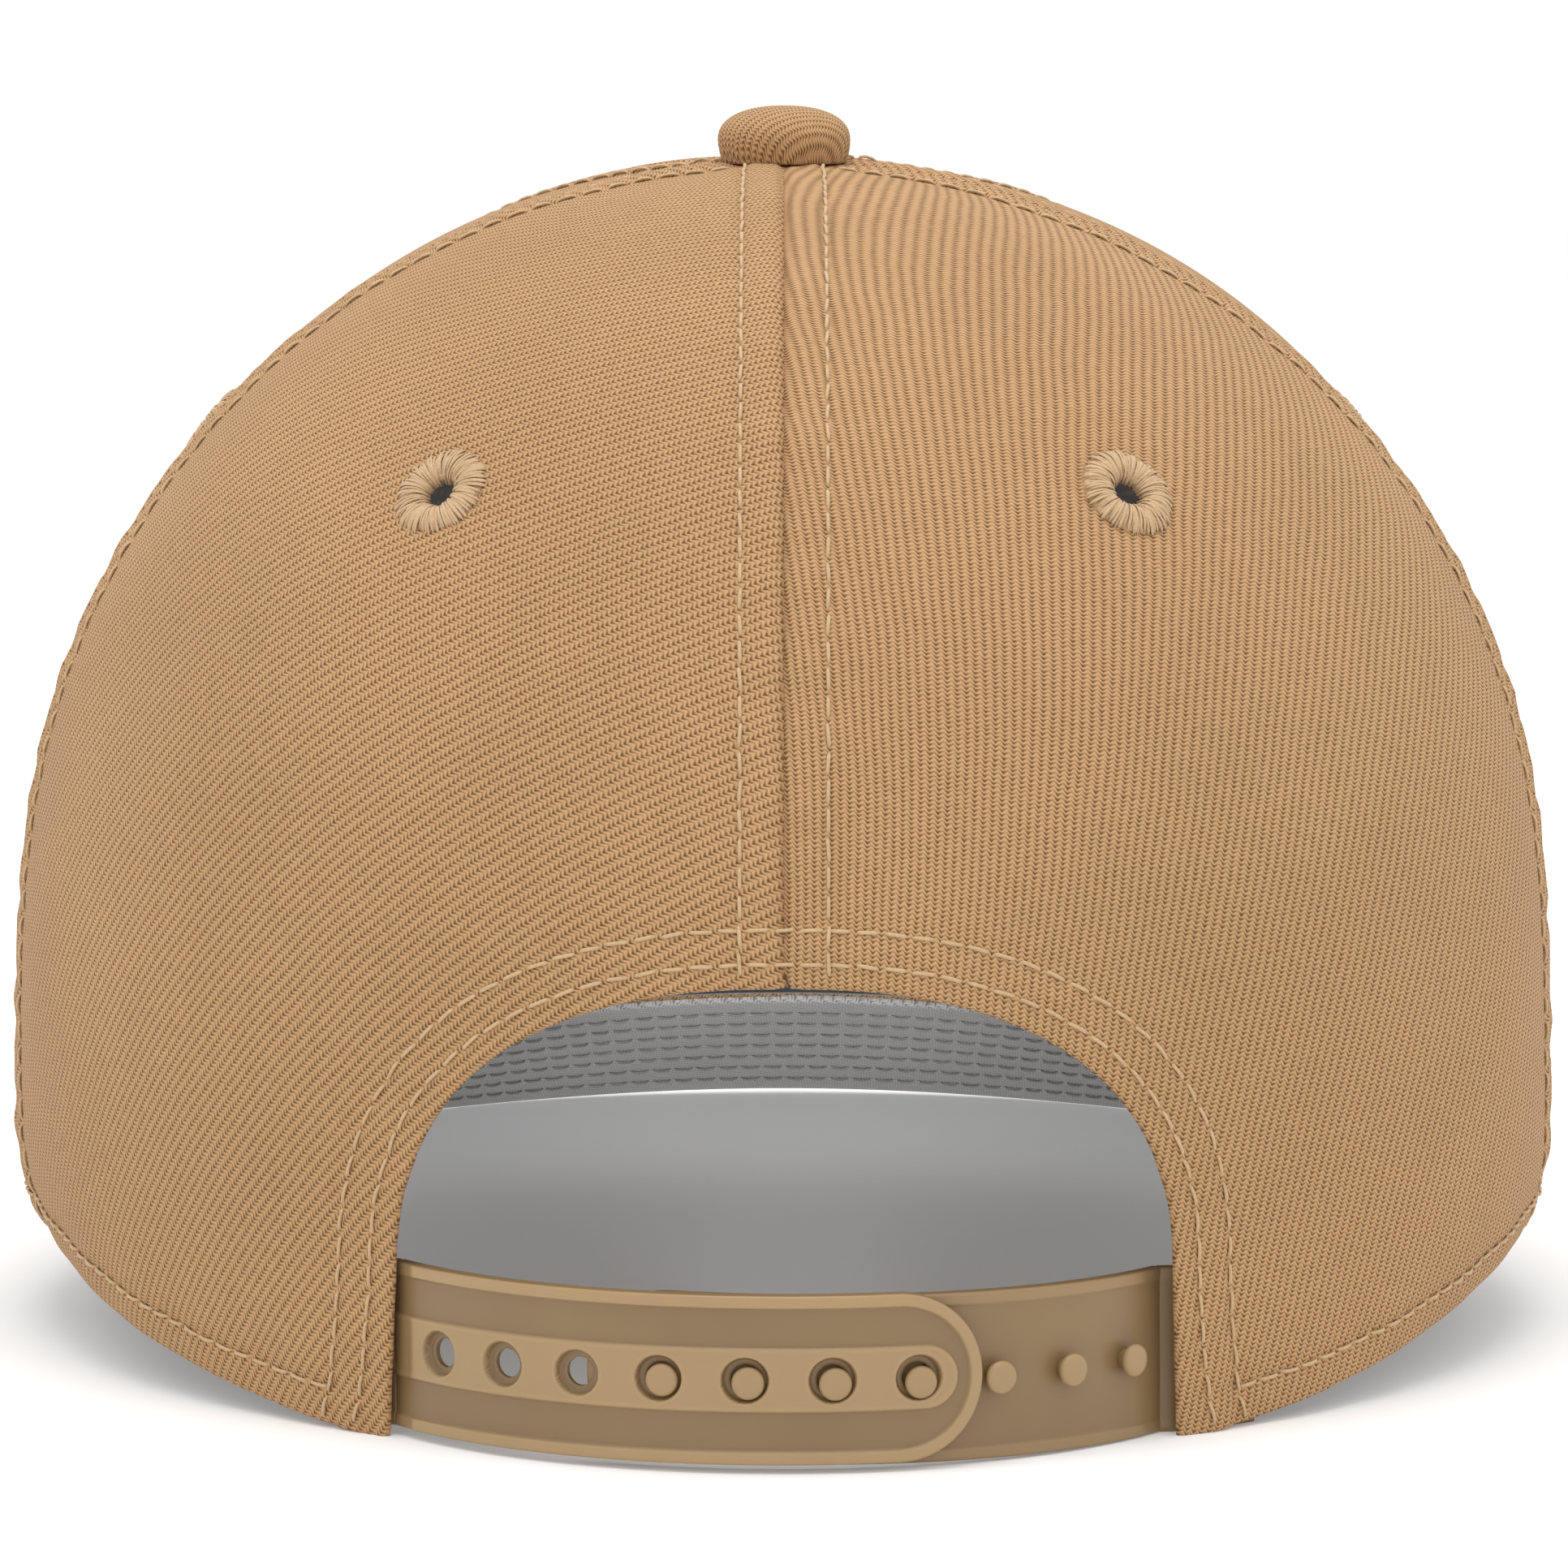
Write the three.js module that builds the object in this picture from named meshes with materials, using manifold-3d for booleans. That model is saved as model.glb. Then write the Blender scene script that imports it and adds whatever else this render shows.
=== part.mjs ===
// Baseball cap, in millimetres: +Y is forward over the visor, +X the wearer's right, +Z up.
// It stands on the two rear corners of the crown and on the two sides of the curved visor.
import * as THREE from "three";
import { mergeVertices } from "three/addons/utils/BufferGeometryUtils.js";
import Module from "manifold-3d";

const wasm = await Module();
wasm.setup();

// Crown: one smooth surface, read by azimuth (0 at the back, 180 at the front) and by t, from edge to top.
const HALF_WIDTH = 95;
const HALF_DEPTH_BACK = 102.9;
const HALF_DEPTH_FRONT = 98;
const CROWN_HEIGHT = 142.6;
const WIDEST_HEIGHT = 29.9;
const WIDEST_T = 0.2;
const HEIGHT_POWER_BACK = 2.547;
const HEIGHT_POWER_FRONT = 3.1;
const PLAN_POWER_BACK = 1.956;
const PLAN_POWER_FRONT = 2.25;
const EDGE_TUCK = 0.0024;
const SIDE_TUCK = 0.034;

// Lower edge: flat on the table at the rear corners, raised at the sides and over the visor.
const EDGE_BACK = -1.6;
const EDGE_SIDE = 13;
const EDGE_FRONT = 25;
const EDGE_POWER = 2.76;

// Panel seams, as azimuths on each side of the back.
const SIDE_SEAM = 83;
const FRONT_SEAM = 130;
const SEAM_GAP = 0.3;
const TOP_HOLE_RADIUS = 3.2;

// Layers, as depths below the outer surface.
const PANEL_DEPTH = [0, 1];
const TAPE_DEPTH = [1.35, 1.95];
const FRONT_TAPE_DEPTH = [1.75, 2.35];
const FLANGE_DEPTH = [2.35, 3.05];
const LINER_DEPTH = [2.7, 3.3];
const SWEATBAND_DEPTH = [3.65, 4.45];

const TAPE_WIDTH = 12;
const TAPE_TOP_RADIUS = 17;
const TAPE_BOTTOM_T = 0.02;
const BUCKRAM_TOP_T = 0.74;
const SWEATBAND_HEIGHT = 32;
const SWEATBAND_LIFT = 1.2;
const SWEATBAND_END = 37;
const LAYER_GAP = 0.35;

// Rear opening: an arch, seen square from behind.
const ARCH_HALF_WIDTH = 44.3;
const ARCH_TOP = 54;
const ARCH_SPRING = 20;
const ARCH_POWER = 2.35;
const ARCH_FLARE = 3;
const FACING_WIDTH = 11;

// Snap strap: two overlapping plastic bands on one arc that bulges behind the opening.
const STRAP_HEIGHT = 19.1;
const STRAP_BOTTOM = 1.9;
const STRAP_THICKNESS = 1.3;
const STRAP_GAP = 0.3;
const STRAP_RADIUS = 52.5;
const STRAP_CENTRE_Y = -57.5;
const STRAP_ROOT_ANGLE = 54;
const STRAP_PITCH_ANGLE = 10.37;
const FIRST_HOLE_ANGLE = -46.1;
const HOLE_COUNT = 7;
const PEG_COUNT = 7;
const FIRST_SHARED = 3;
const HOLE_RADIUS = 2.45;
const PEG_RADIUS = 1.3;
const PEG_HEIGHT = 1.6;
const HOLE_TIP_ANGLE = 24.2;
const PEG_TIP_ANGLE = -25;
const FLANGE_START = 28.3;
const FLANGE_END = 35.4;

// Embroidered eyelets, two in the back panels and two in the side panels.
const EYELET_RADIUS = 6;
const EYELET_HOLE = 1.6;
const EYELET_T = 0.54;
const EYELET_AZIMUTHS = { back: 32.4, side: 106 };
const EYELET_HEIGHT = [0.3, 1.1];

// Button on top.
const BUTTON_RADIUS = 7.8;
const BUTTON_HEIGHT = 6.4;
const BUTTON_WALL = 0.7;
const SHANK_RADIUS = 1.6;
const TACK_RADIUS = 6.5;

// Visor: it springs from the front of the lower edge and droops more at the sides.
const VISOR_HALF_ANGLE = 63;
const VISOR_LENGTH = 70;
const VISOR_FULLNESS = 2.6;
const VISOR_DROOP = 0.31;
const VISOR_SIDE_DROOP = 0.035;
const VISOR_ROOT_RISE = 3.1;
const VISOR_ROOT_GAP = 0.45;
const VISOR_TOP_COVER = [0, 0.8];
const VISOR_BOARD = [1.1, 2.9];
const VISOR_UNDER_COVER = [3.2, 4];

// Mesh grid shared by every layer of the crown, so that layers stay parallel.
const T_ROWS = [
  0, 0.05, 0.1, 0.15, 0.2, 0.26, 0.32, 0.38, 0.44, 0.5, 0.56, 0.62, 0.68, 0.74, 0.8, 0.86, 0.92,
];
const COLUMN_ANGLE = 6.5;
const TABLE_HALF = 260;
const TABLE_LEVEL = 0.9;

const rad = THREE.MathUtils.degToRad;
const deg = THREE.MathUtils.radToDeg;
const smooth = (x) => THREE.MathUtils.smoothstep(x, 0, 1);

function edgeHeight(azimuth) {
  const s = Math.abs(Math.sin(rad(azimuth)));
  const c = Math.cos(rad(azimuth));
  if (c < 0) return EDGE_SIDE + (EDGE_FRONT - EDGE_SIDE) * c * c;
  return EDGE_BACK + (EDGE_SIDE - EDGE_BACK) * s ** EDGE_POWER;
}

// A point of the outer crown surface.
function crownPoint(azimuth, t) {
  const c = Math.cos(rad(azimuth));
  const front = smooth(-c * 1.25);
  const heightPower = THREE.MathUtils.lerp(HEIGHT_POWER_BACK, HEIGHT_POWER_FRONT, front);
  const planPower = THREE.MathUtils.lerp(PLAN_POWER_BACK, PLAN_POWER_FRONT, front);
  const low = edgeHeight(azimuth);
  const tuck = EDGE_TUCK + SIDE_TUCK * Math.sin(rad(azimuth)) ** 2;
  let rho = 1 - tuck * Math.max(1 - t / WIDEST_T, 0) ** 3;
  let z = low + ((WIDEST_HEIGHT - low) * t) / WIDEST_T;
  if (t > WIDEST_T) {
    const u = (((t - WIDEST_T) / (1 - WIDEST_T)) * Math.PI) / 2;
    rho = Math.cos(u) ** (2 / planPower);
    z = WIDEST_HEIGHT + (CROWN_HEIGHT - WIDEST_HEIGHT) * Math.sin(u) ** (2 / heightPower);
  }
  const depth = c > 0 ? HALF_DEPTH_BACK : HALF_DEPTH_FRONT;
  return new THREE.Vector3(HALF_WIDTH * rho * Math.sin(rad(azimuth)), -depth * rho * c, z);
}

// The outward normal of the crown surface.
function crownNormal(azimuth, t) {
  const around = crownPoint(azimuth + 0.5, t).sub(crownPoint(azimuth - 0.5, t));
  const up = crownPoint(azimuth, Math.min(t + 0.01, 0.999)).sub(crownPoint(azimuth, Math.max(t - 0.01, 0)));
  return around.cross(up).normalize();
}

function layerPoint(azimuth, t, depth) {
  return crownPoint(azimuth, t).addScaledVector(crownNormal(azimuth, t), -depth);
}

// The t at which the crown's plan radius falls to this many millimetres.
function tAtRadius(azimuth, radius) {
  let low = 0.3;
  let high = 0.9999;
  for (let i = 0; i < 40; i++) {
    const mid = (low + high) / 2;
    const p = crownPoint(azimuth, mid);
    if (Math.hypot(p.x, p.y) > radius) low = mid;
    else high = mid;
  }
  return low;
}

// The t at which the crown stands this high above its own lower edge.
function tAtHeight(azimuth, height) {
  let low = 0;
  let high = 0.9;
  for (let i = 0; i < 40; i++) {
    const mid = (low + high) / 2;
    if (crownPoint(azimuth, mid).z - edgeHeight(azimuth) < height) low = mid;
    else high = mid;
  }
  return low;
}

function indexed(positions, triangles) {
  const geometry = new THREE.BufferGeometry();
  geometry.setAttribute("position", new THREE.Float32BufferAttribute(positions, 3));
  geometry.setIndex(triangles);
  return geometry;
}

// A closed slab between two grids of points: at(i, j, side) with side 0 outside and 1 inside.
function slab(columns, rows, at) {
  const positions = [];
  const triangles = [];
  const id = (i, j, side) => (side * columns + i) * rows + j;
  for (let side = 0; side < 2; side++)
    for (let i = 0; i < columns; i++)
      for (let j = 0; j < rows; j++) positions.push(...at(i, j, side).toArray());
  const quad = (a, b, c, d) => triangles.push(a, b, c, a, c, d);
  for (let i = 0; i + 1 < columns; i++) {
    for (let j = 0; j + 1 < rows; j++) {
      quad(id(i, j, 0), id(i + 1, j, 0), id(i + 1, j + 1, 0), id(i, j + 1, 0));
      quad(id(i, j, 1), id(i, j + 1, 1), id(i + 1, j + 1, 1), id(i + 1, j, 1));
    }
    quad(id(i, 0, 0), id(i, 0, 1), id(i + 1, 0, 1), id(i + 1, 0, 0));
    quad(id(i, rows - 1, 0), id(i + 1, rows - 1, 0), id(i + 1, rows - 1, 1), id(i, rows - 1, 1));
  }
  for (let j = 0; j + 1 < rows; j++) {
    quad(id(0, j, 0), id(0, j + 1, 0), id(0, j + 1, 1), id(0, j, 1));
    quad(id(columns - 1, j, 0), id(columns - 1, j, 1), id(columns - 1, j + 1, 1), id(columns - 1, j + 1, 0));
  }
  return indexed(positions, triangles);
}

function toSolid(geometry) {
  const plain = geometry.clone();
  plain.deleteAttribute("normal");
  plain.deleteAttribute("uv");
  const merged = mergeVertices(plain, 1e-4);
  const vertProperties = new Float32Array(merged.attributes.position.array);
  const triVerts = new Uint32Array(merged.index.array);
  return new wasm.Manifold(new wasm.Mesh({ numProp: 3, vertProperties, triVerts }));
}

function toGeometry(solid) {
  const mesh = solid.getMesh();
  return indexed(Array.from(mesh.vertProperties), Array.from(mesh.triVerts));
}

// The geometry as a solid, and turned the right way out when its faces point inwards.
function outward(geometry) {
  const solid = toSolid(geometry);
  if (solid.volume() > 0) return solid;
  const flipped = geometry.index.array;
  for (let i = 0; i < flipped.length; i += 3) [flipped[i], flipped[i + 1]] = [flipped[i + 1], flipped[i]];
  return toSolid(geometry);
}

// Evenly spaced numbers no further apart than step.
function spread(from, to, step) {
  const n = Math.max(1, Math.ceil(Math.abs(to - from) / step));
  return Array.from({ length: n + 1 }, (_, i) => from + ((to - from) * i) / n);
}

// A piece of crown layer between two azimuths, inset by a gap in millimetres at both sides.
// rowsAt(azimuth) lists the t of each row there.
function crownLayer(from, to, depths, rowsAt, gap = 0) {
  const azimuths = spread(from, to, COLUMN_ANGLE);
  const rows = azimuths.map(rowsAt);
  return slab(azimuths.length, rows[0].length, (i, j, side) => {
    const t = rows[i][j];
    const p = crownPoint(azimuths[i], t);
    const inset = deg(gap / Math.max(1, Math.hypot(p.x, p.y)));
    const share = (azimuths[i] - from) / (to - from);
    return layerPoint(azimuths[i] + inset * (1 - 2 * share), t, depths[side]);
  });
}

// Rows from one height above the lower edge to another.
function rowsBetweenHeights(azimuth, low, high) {
  const from = tAtHeight(azimuth, low);
  const to = tAtHeight(azimuth, high);
  return [0, 1, 2, 3].map((i) => from + ((to - from) * i) / 3);
}

// A strip of constant width up a seam.
function seamTape(azimuth, depths) {
  const top = tAtRadius(azimuth, TAPE_TOP_RADIUS);
  const ts = [TAPE_BOTTOM_T, ...T_ROWS.filter((t) => t > TAPE_BOTTOM_T + 0.01 && t < top)];
  return slab(3, ts.length, (i, j, side) => {
    const p = crownPoint(azimuth, ts[j]);
    const half = deg(TAPE_WIDTH / 2 / Math.hypot(p.x, p.y));
    return layerPoint(azimuth + (i - 1) * half, ts[j], depths[side]);
  });
}

// The arch-shaped prism of the rear opening, grown by a margin, from behind the cap to its middle.
function archPrism(margin) {
  const shape = new THREE.Shape();
  const half = ARCH_HALF_WIDTH + margin;
  const rise = ARCH_TOP + margin - ARCH_SPRING;
  shape.moveTo(-half - ARCH_FLARE, -10);
  for (const angle of spread(180, 0, 7.5)) {
    const c = Math.cos(rad(angle));
    const s = Math.sin(rad(angle));
    const across = half * Math.sign(c) * Math.abs(c) ** (2 / ARCH_POWER);
    shape.lineTo(across, ARCH_SPRING + rise * s ** (2 / ARCH_POWER));
  }
  shape.lineTo(half + ARCH_FLARE, -10);
  const geometry = new THREE.ExtrudeGeometry(shape, { depth: 150, bevelEnabled: false });
  return geometry.rotateX(Math.PI / 2);
}

// Everything above the table.
function aboveTable() {
  const height = TABLE_LEVEL + TABLE_HALF / 2;
  return new THREE.BoxGeometry(TABLE_HALF * 2, TABLE_HALF * 2, TABLE_HALF).translate(0, 0, height);
}

function eyeletFrame(azimuth) {
  const origin = crownPoint(azimuth, EYELET_T);
  const normal = crownNormal(azimuth, EYELET_T);
  const turn = new THREE.Quaternion().setFromUnitVectors(new THREE.Vector3(0, 1, 0), normal);
  return { origin, turn };
}

// A ring that follows the crown's curve, from a lathe profile laid on its surface.
function eyeletRing(azimuth) {
  const { origin, turn } = eyeletFrame(azimuth);
  const [low, high] = EYELET_HEIGHT;
  const profile = [
    [EYELET_HOLE, low], [EYELET_RADIUS, low], [EYELET_RADIUS, (low + high) / 2],
    [EYELET_RADIUS - 0.8, high], [EYELET_HOLE + 0.5, high], [EYELET_HOLE, low],
  ].map(([x, y]) => new THREE.Vector2(x, y));
  const ring = new THREE.LatheGeometry(profile, 24);
  ring.applyQuaternion(turn);
  return ring.translate(...origin.toArray());
}

function eyeletDrill(azimuth) {
  const { origin, turn } = eyeletFrame(azimuth);
  const drill = new THREE.CylinderGeometry(EYELET_HOLE, EYELET_HOLE, 12, 20);
  return drill.applyQuaternion(turn).translate(...origin.toArray());
}

function panelSolid(from, to, eyelets) {
  const rowsAt = (a) => [...T_ROWS, tAtRadius(a, TOP_HOLE_RADIUS)];
  let solid = outward(crownLayer(from, to, PANEL_DEPTH, rowsAt, SEAM_GAP / 2));
  for (const azimuth of eyelets) solid = solid.subtract(outward(eyeletDrill(azimuth)));
  return solid;
}

// A back panel: its lower corner cut by the opening and pressed flat by the table.
function backPanel(side) {
  const from = side < 0 ? -SIDE_SEAM : 0;
  const solid = panelSolid(from, from + SIDE_SEAM, [side * EYELET_AZIMUTHS.back]);
  return solid.subtract(outward(archPrism(0))).intersect(outward(aboveTable()));
}

function sidePanel(side) {
  const from = side < 0 ? -FRONT_SEAM : SIDE_SEAM;
  return panelSolid(from, from + FRONT_SEAM - SIDE_SEAM, [side * EYELET_AZIMUTHS.side]);
}

function frontBuckram() {
  const clear = deg((TAPE_WIDTH / 2 + 2) / 60);
  const rows = T_ROWS.filter((t) => t > TAPE_BOTTOM_T && t <= BUCKRAM_TOP_T);
  return outward(
    crownLayer(FRONT_SEAM + clear, 360 - FRONT_SEAM - clear, TAPE_DEPTH, () => [TAPE_BOTTOM_T, ...rows]),
  );
}

function sweatbandLayer(depths, height) {
  const rowsAt = (a) => rowsBetweenHeights(a, SWEATBAND_LIFT, height);
  return outward(crownLayer(SWEATBAND_END, 360 - SWEATBAND_END, depths, rowsAt));
}

function archFacing() {
  const reach = FLANGE_END + 6;
  const ring = outward(crownLayer(-reach, reach, TAPE_DEPTH, () => T_ROWS.filter((t) => t < 0.45)));
  const band = outward(archPrism(FACING_WIDTH)).subtract(outward(archPrism(0.3)));
  return ring.intersect(band).intersect(outward(aboveTable().translate(0, 0, 1)));
}

function backTape() {
  return outward(seamTape(0, TAPE_DEPTH)).subtract(outward(archPrism(FACING_WIDTH + LAYER_GAP)));
}

// A point of the strap's arc, at an angle from the back centre.
function strapPoint(angle, radius, z) {
  return new THREE.Vector3(radius * Math.sin(rad(angle)), STRAP_CENTRE_Y - radius * Math.cos(rad(angle)), z);
}

// A band along the strap's arc with a rounded tip at one end and a rounded hinge edge at the other.
function strapBand(rootAngle, tipAngle, inner) {
  const mid = inner + STRAP_THICKNESS / 2;
  const tipLength = STRAP_HEIGHT / 2;
  const tipSpan = deg(tipLength / mid);
  const way = Math.sign(tipAngle - rootAngle);
  const straight = spread(rootAngle, tipAngle - way * tipSpan, 5);
  const round = spread(0, 82, 11).slice(1).map((a) => tipAngle - way * tipSpan * (1 - Math.sin(rad(a))));
  const angles = [...straight, ...round];
  const rows = 5;
  const geometry = slab(angles.length, rows, (i, j, side) => {
    const into = Math.max(0, ((angles[i] - (tipAngle - way * tipSpan)) * way) / tipSpan);
    const half = (STRAP_HEIGHT / 2) * Math.sqrt(1 - into ** 2 * 0.98);
    const z = STRAP_BOTTOM + STRAP_HEIGHT / 2 + half * ((2 * j) / (rows - 1) - 1);
    return strapPoint(angles[i], inner + (side ? 0 : STRAP_THICKNESS), z);
  });
  const root = strapPoint(rootAngle, mid, STRAP_BOTTOM + STRAP_HEIGHT / 2);
  const knuckle = new THREE.CylinderGeometry(STRAP_THICKNESS / 2, STRAP_THICKNESS / 2, STRAP_HEIGHT, 16);
  return outward(geometry).add(outward(knuckle.rotateX(Math.PI / 2).translate(...root.toArray())));
}

// A round bar along the strap's normal, for a hole or a peg.
function strapBar(angle, radius, from, to) {
  const bar = new THREE.CylinderGeometry(radius, radius, to - from, 16);
  const at = strapPoint(angle, (from + to) / 2, STRAP_BOTTOM + STRAP_HEIGHT / 2);
  return outward(bar.rotateZ(rad(angle)).translate(...at.toArray()));
}

const holeAngle = (i) => FIRST_HOLE_ANGLE + i * STRAP_PITCH_ANGLE;
const OUTER_STRAP = STRAP_RADIUS + STRAP_GAP / 2;
const INNER_STRAP = STRAP_RADIUS - STRAP_GAP / 2 - STRAP_THICKNESS;

function holeStrap() {
  let solid = strapBand(-STRAP_ROOT_ANGLE, HOLE_TIP_ANGLE, OUTER_STRAP);
  const beyond = OUTER_STRAP + STRAP_THICKNESS + 3;
  for (let i = 0; i < HOLE_COUNT; i++)
    solid = solid.subtract(strapBar(holeAngle(i), HOLE_RADIUS, OUTER_STRAP - 3, beyond));
  return solid;
}

function pegStrap() {
  const face = INNER_STRAP + STRAP_THICKNESS;
  let solid = strapBand(STRAP_ROOT_ANGLE, PEG_TIP_ANGLE, INNER_STRAP);
  for (let i = FIRST_SHARED; i < FIRST_SHARED + PEG_COUNT; i++)
    solid = solid.add(strapBar(holeAngle(i), PEG_RADIUS, face - 0.6, face + PEG_HEIGHT));
  return solid;
}

// The strip of a strap that is sewn to the inside of the crown beside the opening.
function strapFlange(side) {
  const rowsAt = (a) => {
    const low = STRAP_BOTTOM - edgeHeight(a);
    return rowsBetweenHeights(a, low, low + STRAP_HEIGHT);
  };
  const ends = [side * FLANGE_START, side * FLANGE_END].sort((a, b) => a - b);
  const solid = outward(crownLayer(ends[0], ends[1], FLANGE_DEPTH, rowsAt));
  const inner = side < 0 ? OUTER_STRAP : INNER_STRAP;
  const middle = STRAP_BOTTOM + STRAP_HEIGHT / 2;
  const at = strapPoint(side * STRAP_ROOT_ANGLE, inner + STRAP_THICKNESS / 2, middle);
  const clearance = STRAP_THICKNESS / 2 + STRAP_GAP;
  const socket = new THREE.CylinderGeometry(clearance, clearance, STRAP_HEIGHT * 2, 16);
  return solid.subtract(outward(socket.rotateX(Math.PI / 2).translate(...at.toArray())));
}

// The top of the button, as half a dome profile of this radius and height over a flat base.
function domeProfile(radius, base, height) {
  const points = spread(0, 90, 15).map((a) => [
    radius * Math.cos(rad(a)) ** 0.7,
    base + height * (0.35 + 0.65 * Math.sin(rad(a)) ** 1.2),
  ]);
  return [[radius * 0.95, base], ...points];
}

function turned(points) {
  const profile = points.map(([x, y]) => new THREE.Vector2(Math.max(0, x), y));
  return new THREE.LatheGeometry(profile, 28).rotateX(Math.PI / 2);
}

const BUTTON_BASE = CROWN_HEIGHT + 0.3;

function buttonCover() {
  const outside = domeProfile(BUTTON_RADIUS, BUTTON_BASE, BUTTON_HEIGHT);
  const inside = domeProfile(BUTTON_RADIUS - BUTTON_WALL, BUTTON_BASE, BUTTON_HEIGHT - BUTTON_WALL);
  return outward(turned([...outside, ...inside.reverse(), outside[0]]));
}

function buttonShell() {
  const dome = domeProfile(BUTTON_RADIUS - BUTTON_WALL - 0.3, BUTTON_BASE, BUTTON_HEIGHT - BUTTON_WALL - 0.3);
  const foot = BUTTON_BASE - 5;
  return outward(turned([[0, foot], [SHANK_RADIUS, foot], [SHANK_RADIUS, BUTTON_BASE], ...dome]));
}

function buttonTack() {
  const top = CROWN_HEIGHT - 1.7;
  const bore = SHANK_RADIUS + 0.3;
  const underside = [[bore, top], [bore, top - 2.6], [bore + 1, top - 2.6], [TACK_RADIUS, top - 1.2]];
  return outward(turned([...underside, [TACK_RADIUS, top - 0.4], [bore, top]]));
}

// A point of the visor's upper surface: across from -1 to 1, out from the root (0) to the rim (1).
function visorPoint(across, out, depth) {
  const azimuth = 180 + across * VISOR_HALF_ANGLE;
  const root = crownPoint(azimuth, tAtHeight(azimuth, VISOR_ROOT_RISE));
  const outwards = new THREE.Vector2(root.x, root.y).normalize();
  const way = new THREE.Vector2(outwards.x * 0.45, outwards.y + 0.55).normalize();
  const length = VISOR_LENGTH * (1 - Math.abs(across) ** VISOR_FULLNESS) ** 0.8 + 1.2;
  const s = Math.sin(rad(azimuth));
  const slope = VISOR_DROOP + VISOR_SIDE_DROOP * s * s;
  const run = length * out;
  return new THREE.Vector3(
    root.x + outwards.x * VISOR_ROOT_GAP + way.x * run,
    root.y + outwards.y * VISOR_ROOT_GAP + way.y * run,
    root.z - slope * run - depth,
  );
}

function visorLayer([top, bottom], margin) {
  const acrosses = spread(-1 + margin, 1 - margin, 0.085);
  const outs = spread(0, 1 - margin, 0.15);
  const geometry = slab(acrosses.length, outs.length, (i, j, side) =>
    visorPoint(acrosses[i], outs[j], side ? bottom : top));
  return outward(geometry);
}

const TWILL = { color: 0xb8956b, roughness: 0.85, metalness: 0 };
const TAPE = { color: 0x8c8c8c, roughness: 0.9, metalness: 0 };
const BUCKRAM = { color: 0xd8d6cf, roughness: 0.9, metalness: 0 };
const BAND = { color: 0x39424c, roughness: 0.9, metalness: 0 };
const STRAP = { color: 0x97826a, roughness: 0.45, metalness: 0 };
const THREAD = { color: 0xc8aa85, roughness: 0.7, metalness: 0 };
const METAL = { color: 0xb9b9b6, roughness: 0.35, metalness: 1 };
const BOARD = { color: 0xe4e4e0, roughness: 0.6, metalness: 0 };

const cap = new THREE.Group();
cap.name = "baseball_cap";

function piece(name, solid, finish) {
  const mesh = new THREE.Mesh(toGeometry(solid), new THREE.MeshStandardMaterial(finish));
  mesh.name = name;
  cap.add(mesh);
}

piece("front_panel", panelSolid(FRONT_SEAM, 360 - FRONT_SEAM, []), TWILL);
piece("front_buckram", frontBuckram(), BUCKRAM);
piece("sweatband_face", sweatbandLayer(SWEATBAND_DEPTH, SWEATBAND_HEIGHT), BAND);
piece("sweatband_liner", sweatbandLayer(LINER_DEPTH, SWEATBAND_HEIGHT - 1), BAND);
piece("seam_tape_back", backTape(), TAPE);
piece("arch_facing", archFacing(), TAPE);
piece("strap_holes", holeStrap(), STRAP);
piece("strap_pegs", pegStrap(), STRAP);
piece("button_cover", buttonCover(), TWILL);
piece("button_shell", buttonShell(), METAL);
piece("button_tack", buttonTack(), METAL);
piece("visor_top_cover", visorLayer(VISOR_TOP_COVER, 0), TWILL);
piece("visor_board", visorLayer(VISOR_BOARD, 0.015), BOARD);
piece("visor_under_cover", visorLayer(VISOR_UNDER_COVER, 0), TWILL);

for (const [word, side] of [["left", -1], ["right", 1]]) {
  piece("back_panel_" + word, backPanel(side), TWILL);
  piece("side_panel_" + word, sidePanel(side), TWILL);
  piece("seam_tape_side_" + word, outward(seamTape(side * SIDE_SEAM, TAPE_DEPTH)), TAPE);
  piece("seam_tape_front_" + word, outward(seamTape(side * FRONT_SEAM, FRONT_TAPE_DEPTH)), TAPE);
  piece("strap_flange_" + word, strapFlange(side), STRAP);
  for (const place of ["back", "side"])
    piece("eyelet_" + place + "_" + word, outward(eyeletRing(side * EYELET_AZIMUTHS[place])), THREAD);
}

// The frame's origin is the middle of the object's footprint, on the table.
const reach = new THREE.Box3().setFromObject(cap);
cap.position.set(0, -(reach.min.y + reach.max.y) / 2, -reach.min.z);

export default cap;
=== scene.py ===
"""Baseball cap: twill crown, stitched seams, eyelets, snap strap, visor and inner band."""
import math
import random

import bpy
import numpy as np
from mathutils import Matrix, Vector


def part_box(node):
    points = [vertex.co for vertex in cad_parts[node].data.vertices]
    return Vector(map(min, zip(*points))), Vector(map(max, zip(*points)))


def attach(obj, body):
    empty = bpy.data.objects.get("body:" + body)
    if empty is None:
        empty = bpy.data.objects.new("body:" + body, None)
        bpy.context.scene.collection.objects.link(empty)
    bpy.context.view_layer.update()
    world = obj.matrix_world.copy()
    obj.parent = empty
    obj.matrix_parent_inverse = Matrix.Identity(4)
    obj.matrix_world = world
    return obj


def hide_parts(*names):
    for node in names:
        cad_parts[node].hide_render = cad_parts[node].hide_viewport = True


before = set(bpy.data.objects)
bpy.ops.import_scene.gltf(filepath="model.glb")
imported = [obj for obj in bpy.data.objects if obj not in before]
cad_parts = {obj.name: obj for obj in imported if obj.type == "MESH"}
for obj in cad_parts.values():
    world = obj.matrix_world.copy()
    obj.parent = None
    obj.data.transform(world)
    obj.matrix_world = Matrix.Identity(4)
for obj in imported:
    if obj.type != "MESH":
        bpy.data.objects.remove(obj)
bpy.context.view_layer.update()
MM = 0.001
rng = random.Random(7)

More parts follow.
